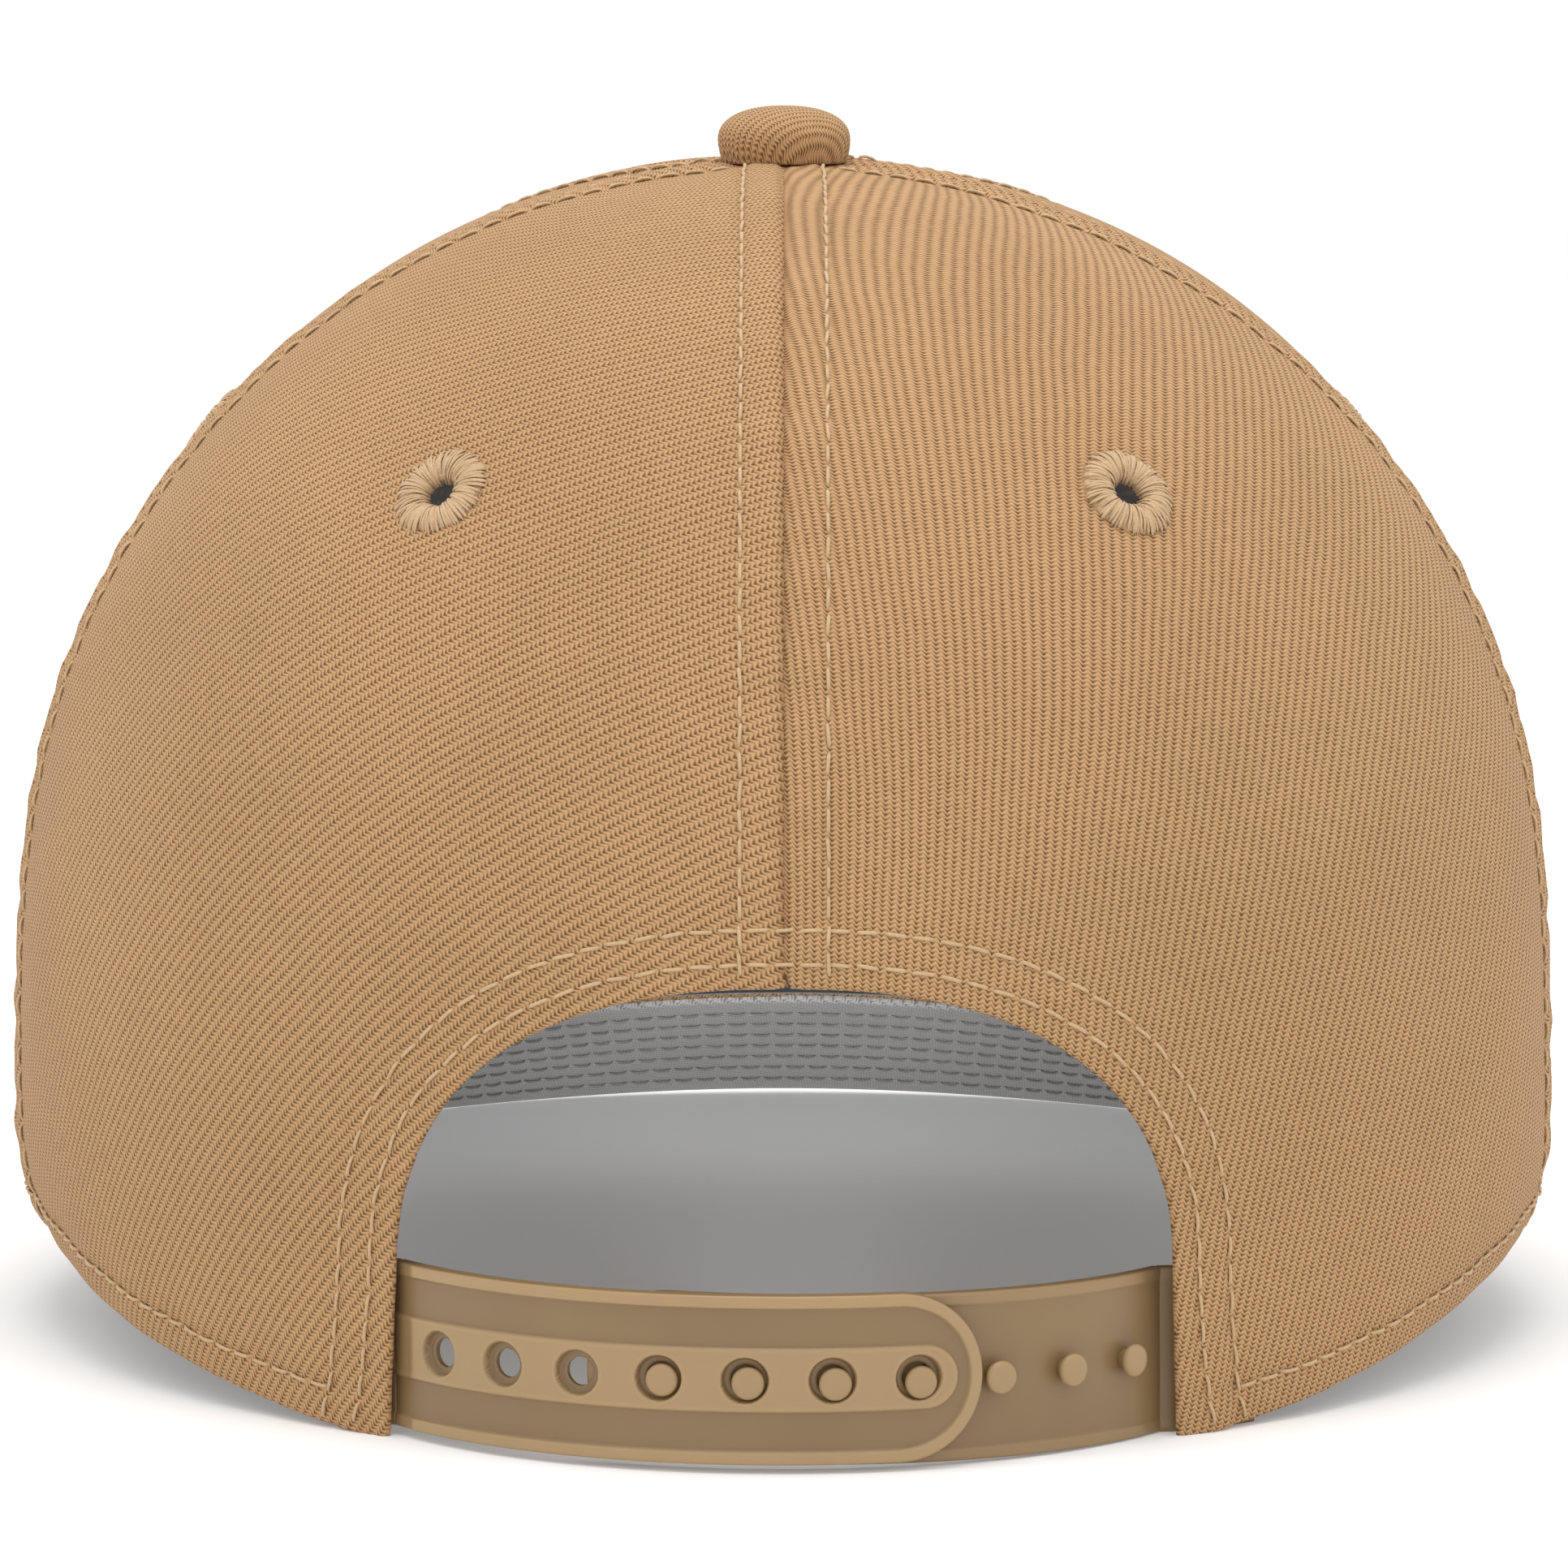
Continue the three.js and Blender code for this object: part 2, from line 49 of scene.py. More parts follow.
# Crown surface, in metres. The button stands on its axis, and t runs from the lower edge to the top.
button_low, button_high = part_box("button_cover")
AXIS_Y = (button_low[1] + button_high[1]) / 2
CROWN_TOP = button_low[2] - 0.3 * MM
HALF_WIDTH = 95 * MM
HALF_DEPTH_BACK = 102.9 * MM
HALF_DEPTH_FRONT = 98 * MM
WIDEST_Z = CROWN_TOP - 112.7 * MM
WIDEST_T = 0.2
HEIGHT_POWERS = 2.547, 3.1
PLAN_POWERS = 1.956, 2.25
EDGE_TUCK = 0.0024
SIDE_TUCK = 0.034
EDGE_BACK, EDGE_SIDE, EDGE_FRONT = -2.5 * MM, 12.1 * MM, 24.1 * MM
EDGE_POWER = 2.76
SIDE_SEAM, FRONT_SEAM = 83.0, 130.0
TOP_HOLE_RADIUS = 3.2 * MM
PANEL_RUN = 190 * MM
CELL, COARSE_CELL = 1.1 * MM, 1.6 * MM
PANEL_THICKNESS = 1.0 * MM
HEM_THICKNESS = 1.4 * MM
HEM_ROUND = HEM_THICKNESS / 2
HEM_BLEND = 8 * MM
RIM_STEPS = 5

# Rear opening, seen square from behind.
ARCH_HALF = 44.3 * MM
ARCH_TOP = 53.1 * MM
ARCH_SPRING = 19.1 * MM
ARCH_POWER = 2.35
ARCH_FLARE = 0.03

# Sewing.
STITCH_PITCH = 3.2 * MM
STITCH_FILL = 0.93
THREAD_RADIUS = 0.23 * MM
THREAD_SIDES = 6
SEAM_ROW = 5.4 * MM
ARCH_ROWS = 2.8 * MM, 6.6 * MM
HEM_ROW = 4.5 * MM
EYELET_T = 0.54
EYELETS = {"back": 32.4, "side": 106.0}
EYELET_RADIUS = 6.1 * MM
EYELET_HOLE = 2.1 * MM
EYELET_CUT = 2.4 * MM
EYELET_THREADS = 128
RIB_PITCH = 1.22 * MM
BUTTON_RADIUS = 8.15 * MM
BUTTON_SIDES = 120
BUTTON_WAIST = 0.4
BUTTON_POWER = 2.3


def smoothstep(x):
    x = np.clip(x, 0, 1)
    return x * x * (3 - 2 * x)


def unit(v):
    return v / np.maximum(np.linalg.norm(v, axis=-1, keepdims=True), 1e-12)


def edge_z(az):
    """Height of the crown's lower edge."""
    s, c = np.abs(np.sin(np.radians(az))), np.cos(np.radians(az))
    front = EDGE_SIDE + (EDGE_FRONT - EDGE_SIDE) * c * c
    back = EDGE_BACK + (EDGE_SIDE - EDGE_BACK) * s**EDGE_POWER
    return np.where(c < 0, front, back)


def powers(az):
    """The crown's height and plan exponents, fuller towards the front."""
    front = smoothstep(-np.cos(np.radians(az)) * 1.25)
    return [a + (b - a) * front for a, b in (HEIGHT_POWERS, PLAN_POWERS)]


def crown(az, t):
    """Points of the outer crown surface, in metres."""
    az, t = np.broadcast_arrays(np.asarray(az, float), np.asarray(t, float))
    height, plan = powers(az)
    low = edge_z(az)
    u = np.clip((t - WIDEST_T) / (1 - WIDEST_T), 0, 1) * math.pi / 2
    lower = t < WIDEST_T
    tuck = EDGE_TUCK + SIDE_TUCK * np.sin(np.radians(az)) ** 2
    rho = np.where(lower, 1 - tuck * (1 - t / WIDEST_T) ** 3, np.cos(u) ** (2 / plan))
    rise = WIDEST_Z + (CROWN_TOP - WIDEST_Z) * np.sin(u) ** (2 / height)
    z = np.where(lower, low + (WIDEST_Z - low) * t / WIDEST_T, rise)
    c = np.cos(np.radians(az))
    depth = np.where(c > 0, HALF_DEPTH_BACK, HALF_DEPTH_FRONT)
    return np.stack([HALF_WIDTH * rho * np.sin(np.radians(az)), AXIS_Y - depth * rho * c, z], -1)


def crown_normal(az, t):
    """Outward unit normals of the crown surface."""
    az, t = np.broadcast_arrays(np.asarray(az, float), np.asarray(t, float))
    around = crown(az + 0.5, t) - crown(az - 0.5, t)
    up = crown(az, np.minimum(t + 0.004, 0.9995)) - crown(az, t - 0.004)
    return unit(np.cross(around, up))


def plan_radius(az, t):
    p = crown(az, t)
    return np.maximum(np.hypot(p[..., 0], p[..., 1] - AXIS_Y), 1e-4)


def t_at_z(az, z):
    """The t of the crown surface at a height."""
    height, _ = powers(az)
    low = edge_z(az)
    share = np.clip((z - WIDEST_Z) / (CROWN_TOP - WIDEST_Z), 0, 1)
    above = WIDEST_T + (1 - WIDEST_T) * np.arcsin(share ** (height / 2)) / (math.pi / 2)
    return np.where(z < WIDEST_Z, WIDEST_T * (z - low) / (WIDEST_Z - low), above)


def t_at_radius(az, radius):
    low, high = np.full(np.shape(az), 0.3), np.full(np.shape(az), 0.9999)
    for _ in range(40):
        mid = (low + high) / 2
        outside = plan_radius(az, mid) > radius
        low, high = np.where(outside, mid, low), np.where(outside, high, mid)
    return low


def arch_distance(p):
    """Distance outside the arch, square from behind, and negative in the opening."""
    x, z = np.abs(p[..., 0]), p[..., 2]
    a, b, n = ARCH_HALF, ARCH_TOP - ARCH_SPRING, ARCH_POWER
    up = np.maximum(z - ARCH_SPRING, 0)
    f = ((x / a) ** n + (up / b) ** n) ** (1 / n)
    f = np.maximum(f, 1e-6)
    gx = (x / a) ** (n - 1) / a * f ** (1 - n)
    gz = (up / b) ** (n - 1) / b * f ** (1 - n)
    round_part = (f - 1) / np.maximum(np.hypot(gx, gz), 1e-6)
    wall = x - (a + ARCH_FLARE * np.maximum(ARCH_SPRING - z, 0))
    d = np.where(z > ARCH_SPRING, round_part, wall)
    return np.where(p[..., 1] < AXIS_Y, d, 1.0)


def arch_row(margin, count=400):
    """(azimuths, ts) of a line round the arch at a distance from it, from corner to corner."""
    angle = np.linspace(0, math.pi, count)
    a, b = ARCH_HALF + margin, ARCH_TOP + margin - ARCH_SPRING
    c, s = np.cos(angle), np.sin(angle)
    x = -a * np.sign(c) * np.abs(c) ** (2 / ARCH_POWER)
    z = ARCH_SPRING + b * s ** (2 / ARCH_POWER)
    down = np.linspace(1.0 * MM, ARCH_SPRING, 30)[:-1]
    side = a + ARCH_FLARE * (ARCH_SPRING - down)
    x = np.concatenate([-side, x, side[::-1]])
    z = np.concatenate([down, z, down[::-1]])
    az = np.degrees(np.arcsin(np.clip(x / HALF_WIDTH, -1, 1)))
    for _ in range(8):
        t = t_at_z(az, z)
        rho = plan_radius(np.full_like(az, 90.0), t) / HALF_WIDTH
        az = np.degrees(np.arcsin(np.clip(x / (HALF_WIDTH * rho), -1, 1)))
    return az, t_at_z(az, z)


def bump(d, centre, width):
    return np.exp(-(((d - centre) / width) ** 2))


def seam_relief(d, along, phase, flat=SEAM_ROW):
    """Relief across a sewn seam, in metres: groove, raised allowance, stitched line and puckers."""
    d = np.abs(d)
    groove = -0.8 * bump(d, 0, 0.75 * MM)
    allowance = 0.38 * (1 - smoothstep((d - flat + 0.7 * MM) / (1.3 * MM)))
    row = -0.28 * bump(d, flat, 0.9 * MM)
    wave = np.sin(along / (1.45 * MM) + phase) + 0.7 * np.sin(along / (0.93 * MM) + 2 * phase)
    pucker = 0.13 * wave * bump(d, flat * 0.45, 3.6 * MM)
    return (groove + allowance + row + pucker) * MM


def relief(az, t):
    """How far the sewn cloth stands off the plain crown surface, in metres."""
    p = crown(az, t)
    radius = plan_radius(az, t)
    turned = (np.asarray(az) + 180) % 360 - 180
    arch = arch_distance(p)
    height = p[..., 2] - edge_z(az)
    out = np.zeros(radius.shape)
    for i, seam in enumerate((0.0, -SIDE_SEAM, SIDE_SEAM, -FRONT_SEAM, FRONT_SEAM)):
        d = np.radians((turned - seam + 180) % 360 - 180) * radius
        out = out + seam_relief(d, p[..., 2] * 1.15, i * 1.7) * smoothstep(radius / (14 * MM))
    along = p[..., 0] - 1.3 * p[..., 2]
    inner, outer = ARCH_ROWS
    edge_band = 0.35 * (1 - smoothstep((arch - outer + 0.8 * MM) / (1.4 * MM)))
    rows = -0.24 * bump(arch, inner, 0.9 * MM) - 0.26 * bump(arch, outer, 0.9 * MM)
    ripple = 0.10 * np.sin(along / (1.5 * MM)) * bump(arch, 5 * MM, 4 * MM)
    out = out + np.where(arch < 0.9, edge_band + rows + ripple, 0) * MM
    hem = 0.3 - 0.2 * np.sin(np.radians(turned)) ** 2
    hem = hem * (1 - smoothstep((height - HEM_ROW + 0.7 * MM) / (1.4 * MM)))
    hem = hem - 0.26 * bump(height, HEM_ROW, 0.9 * MM)
    hem = hem + 0.12 * np.sin(np.radians(turned) * 38) * bump(height, 5 * MM, 5 * MM)
    out = out + hem * MM * smoothstep((arch - 1 * MM) / (2 * MM))
    soft = np.sin(turned / 13 + 2.2 * p[..., 2] * 10) * np.sin(p[..., 2] * 62 + turned / 31)
    soft = soft + 0.5 * np.sin(turned / 5.5 - p[..., 2] * 75) * np.sin(p[..., 2] * 41 + 1)
    for place in EYELETS.values():
        for side in (-1, 1):
            away = np.linalg.norm(p - crown(side * place, EYELET_T), axis=-1)
            out = out - 0.35 * MM * bump(away, 0, 6.5 * MM)
    return out + 0.33 * MM * soft


def sewn_point(az, t, lift=0.0):
    """Points on the sewn cloth, lifted off it by so many metres."""
    return crown(az, t) + crown_normal(az, t) * (relief(az, t) + lift)[..., None]


# ---------------------------------------------------------------- materials
def material(name):
    """A new material, its node tree and shader, and the object's own coordinates."""
    mat = bpy.data.materials.new(name)
    mat.use_nodes = True
    nt = mat.node_tree
    return mat, nt, nt.nodes["Principled BSDF"], add(nt, "ShaderNodeTexCoord").outputs["Object"]


def feed(node, inputs):
    """Sets a node's inputs, each to a value or by a link from a socket."""
    for key, value in inputs.items():
        if isinstance(value, bpy.types.NodeSocket):
            node.id_data.links.new(value, node.inputs[key])
        else:
            node.inputs[key].default_value = value


def add(nt, kind, inputs=None, **settings):
    """A node with its settings and inputs."""
    node = nt.nodes.new(kind)
    for key, value in settings.items():
        setattr(node, key, value)
    feed(node, inputs or {})
    return node


def maths(nt, operation, a, b=0.0, c=0.0):
    return add(nt, "ShaderNodeMath", {0: a, 1: b, 2: c}, operation=operation).outputs[0]


def wave(nt, value):
    """Half a cosine of a value counted in turns, from 0 to 1."""
    turns = maths(nt, "MULTIPLY", value, 2 * math.pi)
    return maths(nt, "MULTIPLY_ADD", maths(nt, "COSINE", turns), 0.5, 0.5)


def noise(nt, vector, scale, detail=2.0, rough=0.5):
    inputs = {"Vector": vector, "Scale": scale, "Detail": detail, "Roughness": rough}
    return add(nt, "ShaderNodeTexNoise", inputs).outputs["Fac"]


def ramp(nt, value, stops):
    """A colour ramp of (place, colour) stops."""
    node = add(nt, "ShaderNodeValToRGB", {"Fac": value})
    elements = node.color_ramp.elements
    while len(elements) < len(stops):
        elements.new(0.5)
    for element, (place, colour) in zip(elements, stops):
        element.position = place
        element.color = (*colour, 1)
    return node.outputs["Color"]


def srgb(*colour):
    """An sRGB colour of 0 to 255 as linear values."""
    shares = [c / 255 for c in colour]
    return tuple(c / 12.92 if c <= 0.04045 else ((c + 0.055) / 1.055) ** 2.4 for c in shares)


def grey(value):
    return srgb(value, value, value)


def bumped(nt, bsdf, height, strength, distance):
    inputs = {"Height": height, "Strength": strength, "Distance": distance}
    feed(bsdf, {"Normal": add(nt, "ShaderNodeBump", inputs).outputs["Normal"]})


def twill_material(name, groove_shade_colour, body, crest_highlight):
    """Heavy twill: ribs of small slanted yarns, from a UV map in metres along and across the ribs."""
    mat, nt, bsdf, coords = material(name)
    uv = add(nt, "ShaderNodeUVMap", uv_map="weave").outputs["UV"]
    split = add(nt, "ShaderNodeSeparateXYZ", {0: uv})
    along, across = split.outputs[0], split.outputs[1]
    drift = noise(nt, coords, 90.0)
    ribs = maths(nt, "MULTIPLY_ADD", across, 1 / RIB_PITCH, maths(nt, "MULTIPLY", drift, 0.5))
    lean = maths(nt, "MULTIPLY", maths(nt, "PINGPONG", ribs, 0.5), 1.5)
    yarns = maths(nt, "MULTIPLY_ADD", along, 1 / (0.45 * RIB_PITCH), lean)
    yarns = maths(nt, "MULTIPLY_ADD", noise(nt, coords, 650.0, 1.0), 0.7, yarns)
    groove = maths(nt, "POWER", maths(nt, "SUBTRACT", 1.0, wave(nt, ribs)), 1.3)
    gap = maths(nt, "SUBTRACT", 1.0, wave(nt, yarns))
    fuzz = noise(nt, coords, 3600.0, 3.0, 0.7)
    dash = maths(nt, "MULTIPLY", groove, maths(nt, "MULTIPLY_ADD", gap, 0.7, 0.26))
    half_gap = maths(nt, "MULTIPLY", gap, 0.5)
    crest_gap = maths(nt, "MULTIPLY", maths(nt, "SUBTRACT", 1.0, groove), half_gap)
    depth = maths(nt, "ADD", dash, crest_gap)
    height = maths(nt, "MULTIPLY_ADD", fuzz, 0.25, maths(nt, "SUBTRACT", 1.0, depth))
    shade = maths(nt, "MULTIPLY_ADD", noise(nt, coords, 1100.0), 0.3, height)
    # The ramp paints shade into the rib grooves and the gaps between yarns, and a highlight on the
    # crests.
    colour = ramp(nt, shade, [(0.3, groove_shade_colour), (0.82, body), (1.0, crest_highlight)])
    patches = noise(nt, coords, 26.0, 4.0, 0.6)
    worn = ramp(nt, patches, [(0.3, (0.93, 0.92, 0.91)), (0.7, (1.04, 1.04, 1.04))])
    mixed = {0: 1.0, 6: colour, 7: worn}
    feed(bsdf, {
        "Base Color": add(nt, "ShaderNodeMix", mixed, data_type="RGBA", blend_type="MULTIPLY").outputs[2],
        "Roughness": maths(nt, "MULTIPLY_ADD", fuzz, 0.2, 0.74),
        "Specular IOR Level": 0.2,
        "Sheen Weight": 0.06,
        "Sheen Roughness": 0.5,
        "Sheen Tint": (1.0, 0.85, 0.68, 1.0),
    })
    bumped(nt, bsdf, height, 0.6, 0.18 * MM)
    return mat


def cloth_material(name, dark, light, scale, weave=0.9 * MM):
    """Plain woven cloth: a basket of two crossing waves over object space, with mottled colour."""
    mat, nt, bsdf, coords = material(name)
    split = add(nt, "ShaderNodeSeparateXYZ", {0: coords})
    x, y, z = split.outputs
    warp = wave(nt, maths(nt, "MULTIPLY", maths(nt, "ADD", x, y), 1 / weave))
    weft = wave(nt, maths(nt, "MULTIPLY", z, 1 / weave))
    basket = maths(nt, "MULTIPLY", warp, weft)
    mottle = noise(nt, coords, scale, 4.0, 0.6)
    value = maths(nt, "MULTIPLY_ADD", basket, 0.35, maths(nt, "MULTIPLY", mottle, 0.9))
    # The basket term paints shade between the crossing yarns; the mottle is the cloth's own tone.
    colour = ramp(nt, value, [(0.2, dark), (0.8, light)])
    rough = maths(nt, "MULTIPLY_ADD", mottle, 0.15, 0.78)
    feed(bsdf, {"Base Color": colour, "Roughness": rough, "Sheen Weight": 0.1})
    bumped(nt, bsdf, basket, 0.5, 0.15 * MM)
    return mat


def thread_material(name, dark, light):
    """Twisted thread: fine slanted plies with a slight sheen."""
    mat, nt, bsdf, coords = material(name)
    fine = noise(nt, coords, 2600.0, 2.0, 0.7)
    broad = noise(nt, coords, 160.0)
    value = maths(nt, "MULTIPLY_ADD", fine, 0.7, maths(nt, "MULTIPLY", broad, 0.3))
    colour = ramp(nt, value, [(0.25, dark), (0.75, light)])
    rough = maths(nt, "MULTIPLY_ADD", fine, 0.2, 0.5)
    feed(bsdf, {"Base Color": colour, "Roughness": rough, "Sheen Weight": 0.15})
    bumped(nt, bsdf, fine, 0.6, 0.08 * MM)
    return mat


def plastic_material(name, dark, light):
    """Soft moulded plastic: satin, faintly mottled, with fine flow marks and fine grain; raised parts get
    a painted highlight and low parts painted shade.
    """
    mat, nt, bsdf, coords = material(name)
    flow = noise(nt, coords, 45.0, 3.0, 0.55)
    grain = noise(nt, coords, 2200.0, 2.0, 0.6)
    # How raised each vertex is lightens its colour: painted highlight on rims and bands, painted shade in
    # the counterbores.
    raised = add(nt, "ShaderNodeAttribute", attribute_name="raised").outputs["Fac"]
    tone = maths(nt, "MULTIPLY_ADD", raised, 0.62, maths(nt, "MULTIPLY_ADD", flow, 0.3, 0.05))
    feed(bsdf, {
        "Base Color": ramp(nt, tone, [(0.05, dark), (0.85, light)]),
        "Roughness": maths(nt, "MULTIPLY_ADD", flow, 0.16, maths(nt, "MULTIPLY_ADD", grain, 0.08, 0.27)),
        "Subsurface Weight": 0.06,
        "Subsurface Radius": (0.002, 0.0012, 0.0008),
    })
    bumped(nt, bsdf, grain, 0.12, 0.03 * MM)
    return mat


def metal_material(name):
    """Plain pressed steel with fine brushed scratches."""
    mat, nt, bsdf, coords = material(name)
    scratch = noise(nt, coords, 900.0, 4.0, 0.7)
    colour = ramp(nt, scratch, [(0.2, (0.42, 0.42, 0.4)), (0.8, (0.62, 0.62, 0.6))])
    rough = maths(nt, "MULTIPLY_ADD", scratch, 0.25, 0.28)
    feed(bsdf, {"Base Color": colour, "Metallic": 1.0, "Roughness": rough})
    bumped(nt, bsdf, scratch, 0.2, 0.03 * MM)
    return mat


def floor_material():
    mat, nt, bsdf, coords = material("floor")
    paper = noise(nt, coords, 30.0, 3.0)
    # The floor glows faintly: painted light that lifts the shadows round the cap and the shade inside it.
    feed(bsdf, {
        "Base Color": ramp(nt, paper, [(0.3, (0.78, 0.78, 0.78)), (0.7, (0.8, 0.8, 0.8))]),
        "Roughness": 0.9,
        "Emission Color": (1, 1, 1, 1),
        "Emission Strength": 0.18,
    })
    return mat


# Each twill's first colour is painted shade for its grooves, its last a painted highlight for its crests.
TWILL = twill_material("tan_twill", srgb(94, 62, 33), srgb(163, 125, 85), srgb(192, 154, 112))
GREY_TWILL = twill_material("grey_twill", grey(138), grey(192), grey(212))
THREAD = thread_material("sewing_thread", srgb(178, 145, 103), srgb(207, 177, 136))
GREY_THREAD = thread_material("grey_thread", grey(130), grey(166))
EYELET_THREAD = thread_material("eyelet_thread", srgb(176, 144, 106), srgb(206, 174, 134))
GREY_TAPE = cloth_material("grey_tape", grey(112), grey(158), 60.0)
BUCKRAM = cloth_material("buckram", srgb(128, 128, 126), srgb(172, 172, 170), 35.0, 1.4 * MM)
BAND_CLOTH = cloth_material("sweatband_cloth", srgb(44, 52, 60), srgb(70, 80, 90), 80.0, 0.7 * MM)
STRAP_PLASTIC = plastic_material("strap_plastic", srgb(122, 97, 65), srgb(168, 139, 98))
METAL = metal_material("pressed_steel")
BOARD = plastic_material("visor_board", srgb(214, 214, 208), srgb(228, 228, 222))


# ---------------------------------------------------------------- meshes
def new_object(name, verts, faces, mats, smooth=True):
    mesh = bpy.data.meshes.new(name)
    faces = [f[:3] if len(f) == 4 and f[2] == f[3] else f for f in np.asarray(faces, object).tolist()]
    mesh.from_pydata(np.asarray(verts).tolist(), [], faces)
    mesh.update()
    obj = bpy.data.objects.new(name, mesh)
    bpy.context.scene.collection.objects.link(obj)
    for mat in mats:
        mesh.materials.append(mat)
    if smooth:
        mesh.shade_smooth()
    return obj


def place(obj, body, slot, *nodes):
    """Puts a piece on its body and hides the CAD nodes it stands for. The slot is not used."""
    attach(obj, body)
    if nodes:
        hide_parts(*nodes)
    return obj


def set_weave(obj, coords):
    """Writes the weave's UV map from one (along, across) pair per vertex, in metres."""
    layer = obj.data.uv_layers.new(name="weave")
    index = np.empty(len(obj.data.loops), dtype=np.int32)
    obj.data.loops.foreach_get("vertex_index", index)
    layer.data.foreach_set("uv", np.asarray(coords)[index].astype(np.float32).ravel())


def grid_faces(columns, rows):
    """Quads of a grid stored column by column."""
    i, j = np.meshgrid(np.arange(columns - 1), np.arange(rows - 1), indexing="ij")
    a = (i * rows + j).ravel()
    return np.stack([a, a + rows, a + rows + 1, a + 1], 1)


def set_shade(obj, values):
    """Stores how raised each vertex is, which the plastic paints as highlight on raised parts and shade
    in low ones.
    """
    layer = obj.data.attributes.new("raised", "FLOAT", "POINT")
    layer.data.foreach_set("value", np.asarray(values, np.float32))


def closed_shell(outer, inner, faces, rounded):
    """Vertices and faces of a solid sheet: outer skin, inner skin, and a rim that is round where asked.

    It also gives each vertex's skin point, and how far the weave runs on round the rim.
    """
    n = len(outer)
    rounded = np.broadcast_to(rounded, n)
    triangles = faces[:, 2] == faces[:, 3]
    back = faces[:, ::-1] + n
    back[triangles] = faces[triangles][:, [2, 1, 0, 0]] + n
    edges = np.concatenate([faces[:, [0, 1]], faces[:, [1, 2]], faces[:, [2, 3]], faces[:, [3, 0]]])
    keys = {(a, b) for a, b in edges.tolist()}
    rim = [(a, b) for a, b in edges.tolist() if (b, a) not in keys and a != b]
    through = outer - inner
    thickness = np.linalg.norm(through, axis=1)
    out = np.zeros_like(outer)
    ends = np.array(rim)
    sides = np.cross(outer[ends[:, 1]] - outer[ends[:, 0]], through[ends[:, 0]])
    np.add.at(out, ends[:, 0], sides)
    np.add.at(out, ends[:, 1], sides)
    ids = np.unique(ends)
    out[ids] = unit(out[ids])
    centre, half = (outer[ids] + inner[ids]) / 2, through[ids] / 2
    bulge = (thickness[ids] / 2 * rounded[ids])[:, None]
    rings, slips = [], [np.zeros((2 * n, 3))]
    for k in range(1, RIM_STEPS):
        angle = math.pi * k / RIM_STEPS
        rings.append(centre + half * math.cos(angle) + out[ids] * bulge * math.sin(angle))
        slips.append(out[ids] * (thickness[ids] / 2 * min(angle, math.pi - angle))[:, None])
    ring = np.zeros(n, int)
    ring[ids] = np.arange(len(ids))
    def at(v, k):
        if k in (0, RIM_STEPS):
            return v + (n if k else 0)
        return 2 * n + (k - 1) * len(ids) + ring[v]
    a, b = ends[:, 0], ends[:, 1]
    strips = [np.stack([at(b, k), at(a, k), at(a, k + 1), at(b, k + 1)], 1) for k in range(RIM_STEPS)]
    verts = np.concatenate([outer, inner] + rings)
    source = np.concatenate([np.arange(n), np.arange(n)] + [ids] * (RIM_STEPS - 1))
    return verts, np.concatenate([faces, back] + strips), source, np.concatenate(slips)


def snap_to(values, faces, params):
    """Moves the grid points just inside a hole onto its edge, and returns which points stay."""
    edges = np.concatenate([faces[:, [0, 1]], faces[:, [1, 2]]])
    inside = values < 0
    edges = edges[inside[edges[:, 0]] != inside[edges[:, 1]]]
    swap = ~inside[edges[:, 0]]
    edges[swap] = edges[swap][:, ::-1]
    a, b = edges[:, 0], edges[:, 1]
    share = -values[a] / (values[b] - values[a])
    order = np.argsort(-share)
    place = params.copy()
    place[a[order]] = (params[a] + (params[b] - params[a]) * share[:, None])[order]
    params[a] = place[a]
    keep = ~inside
    keep[a] = True
    return keep


def kept_faces(faces, keep):
    """The faces whose corners all stay, and the triangles of those that lose just one corner."""
    stays = keep[faces]
    whole = faces[stays.all(1)]
    cut = [np.delete(faces, k, 1)[(stays.sum(1) == 3) & ~stays[:, k]] for k in range(4)]
    cut = np.concatenate(cut)
    return np.concatenate([whole, np.column_stack([cut, cut[:, 2]])])


def compact(faces, *arrays):
    """Drops the grid points that no face uses."""
    used = np.unique(faces)
    new = np.full(len(arrays[0]), -1)
    new[used] = np.arange(len(used))
    return new[faces], *[a[used] for a in arrays]


def rib_coordinates(u, v, angle, bend):
    """(along, across) of the cloth's ribs at flat-pattern places u and v."""
    s, c = math.sin(math.radians(angle)), math.cos(math.radians(angle))
    uu, uv, vv = bend
    across = -s * u + c * v + 0.5 * (uu * u * u + 2 * uv * u * v + vv * v * v)
    return np.stack([c * u + s * v, across], -1)


WEAVES = {
    "left": (48.5, (3.33, 2.38, 2.12)),
    "right": (71.0, (4.87, 2.88, 1.54)),
    "plain": (35.0, (0.0, 0.0, 0.0)),
}


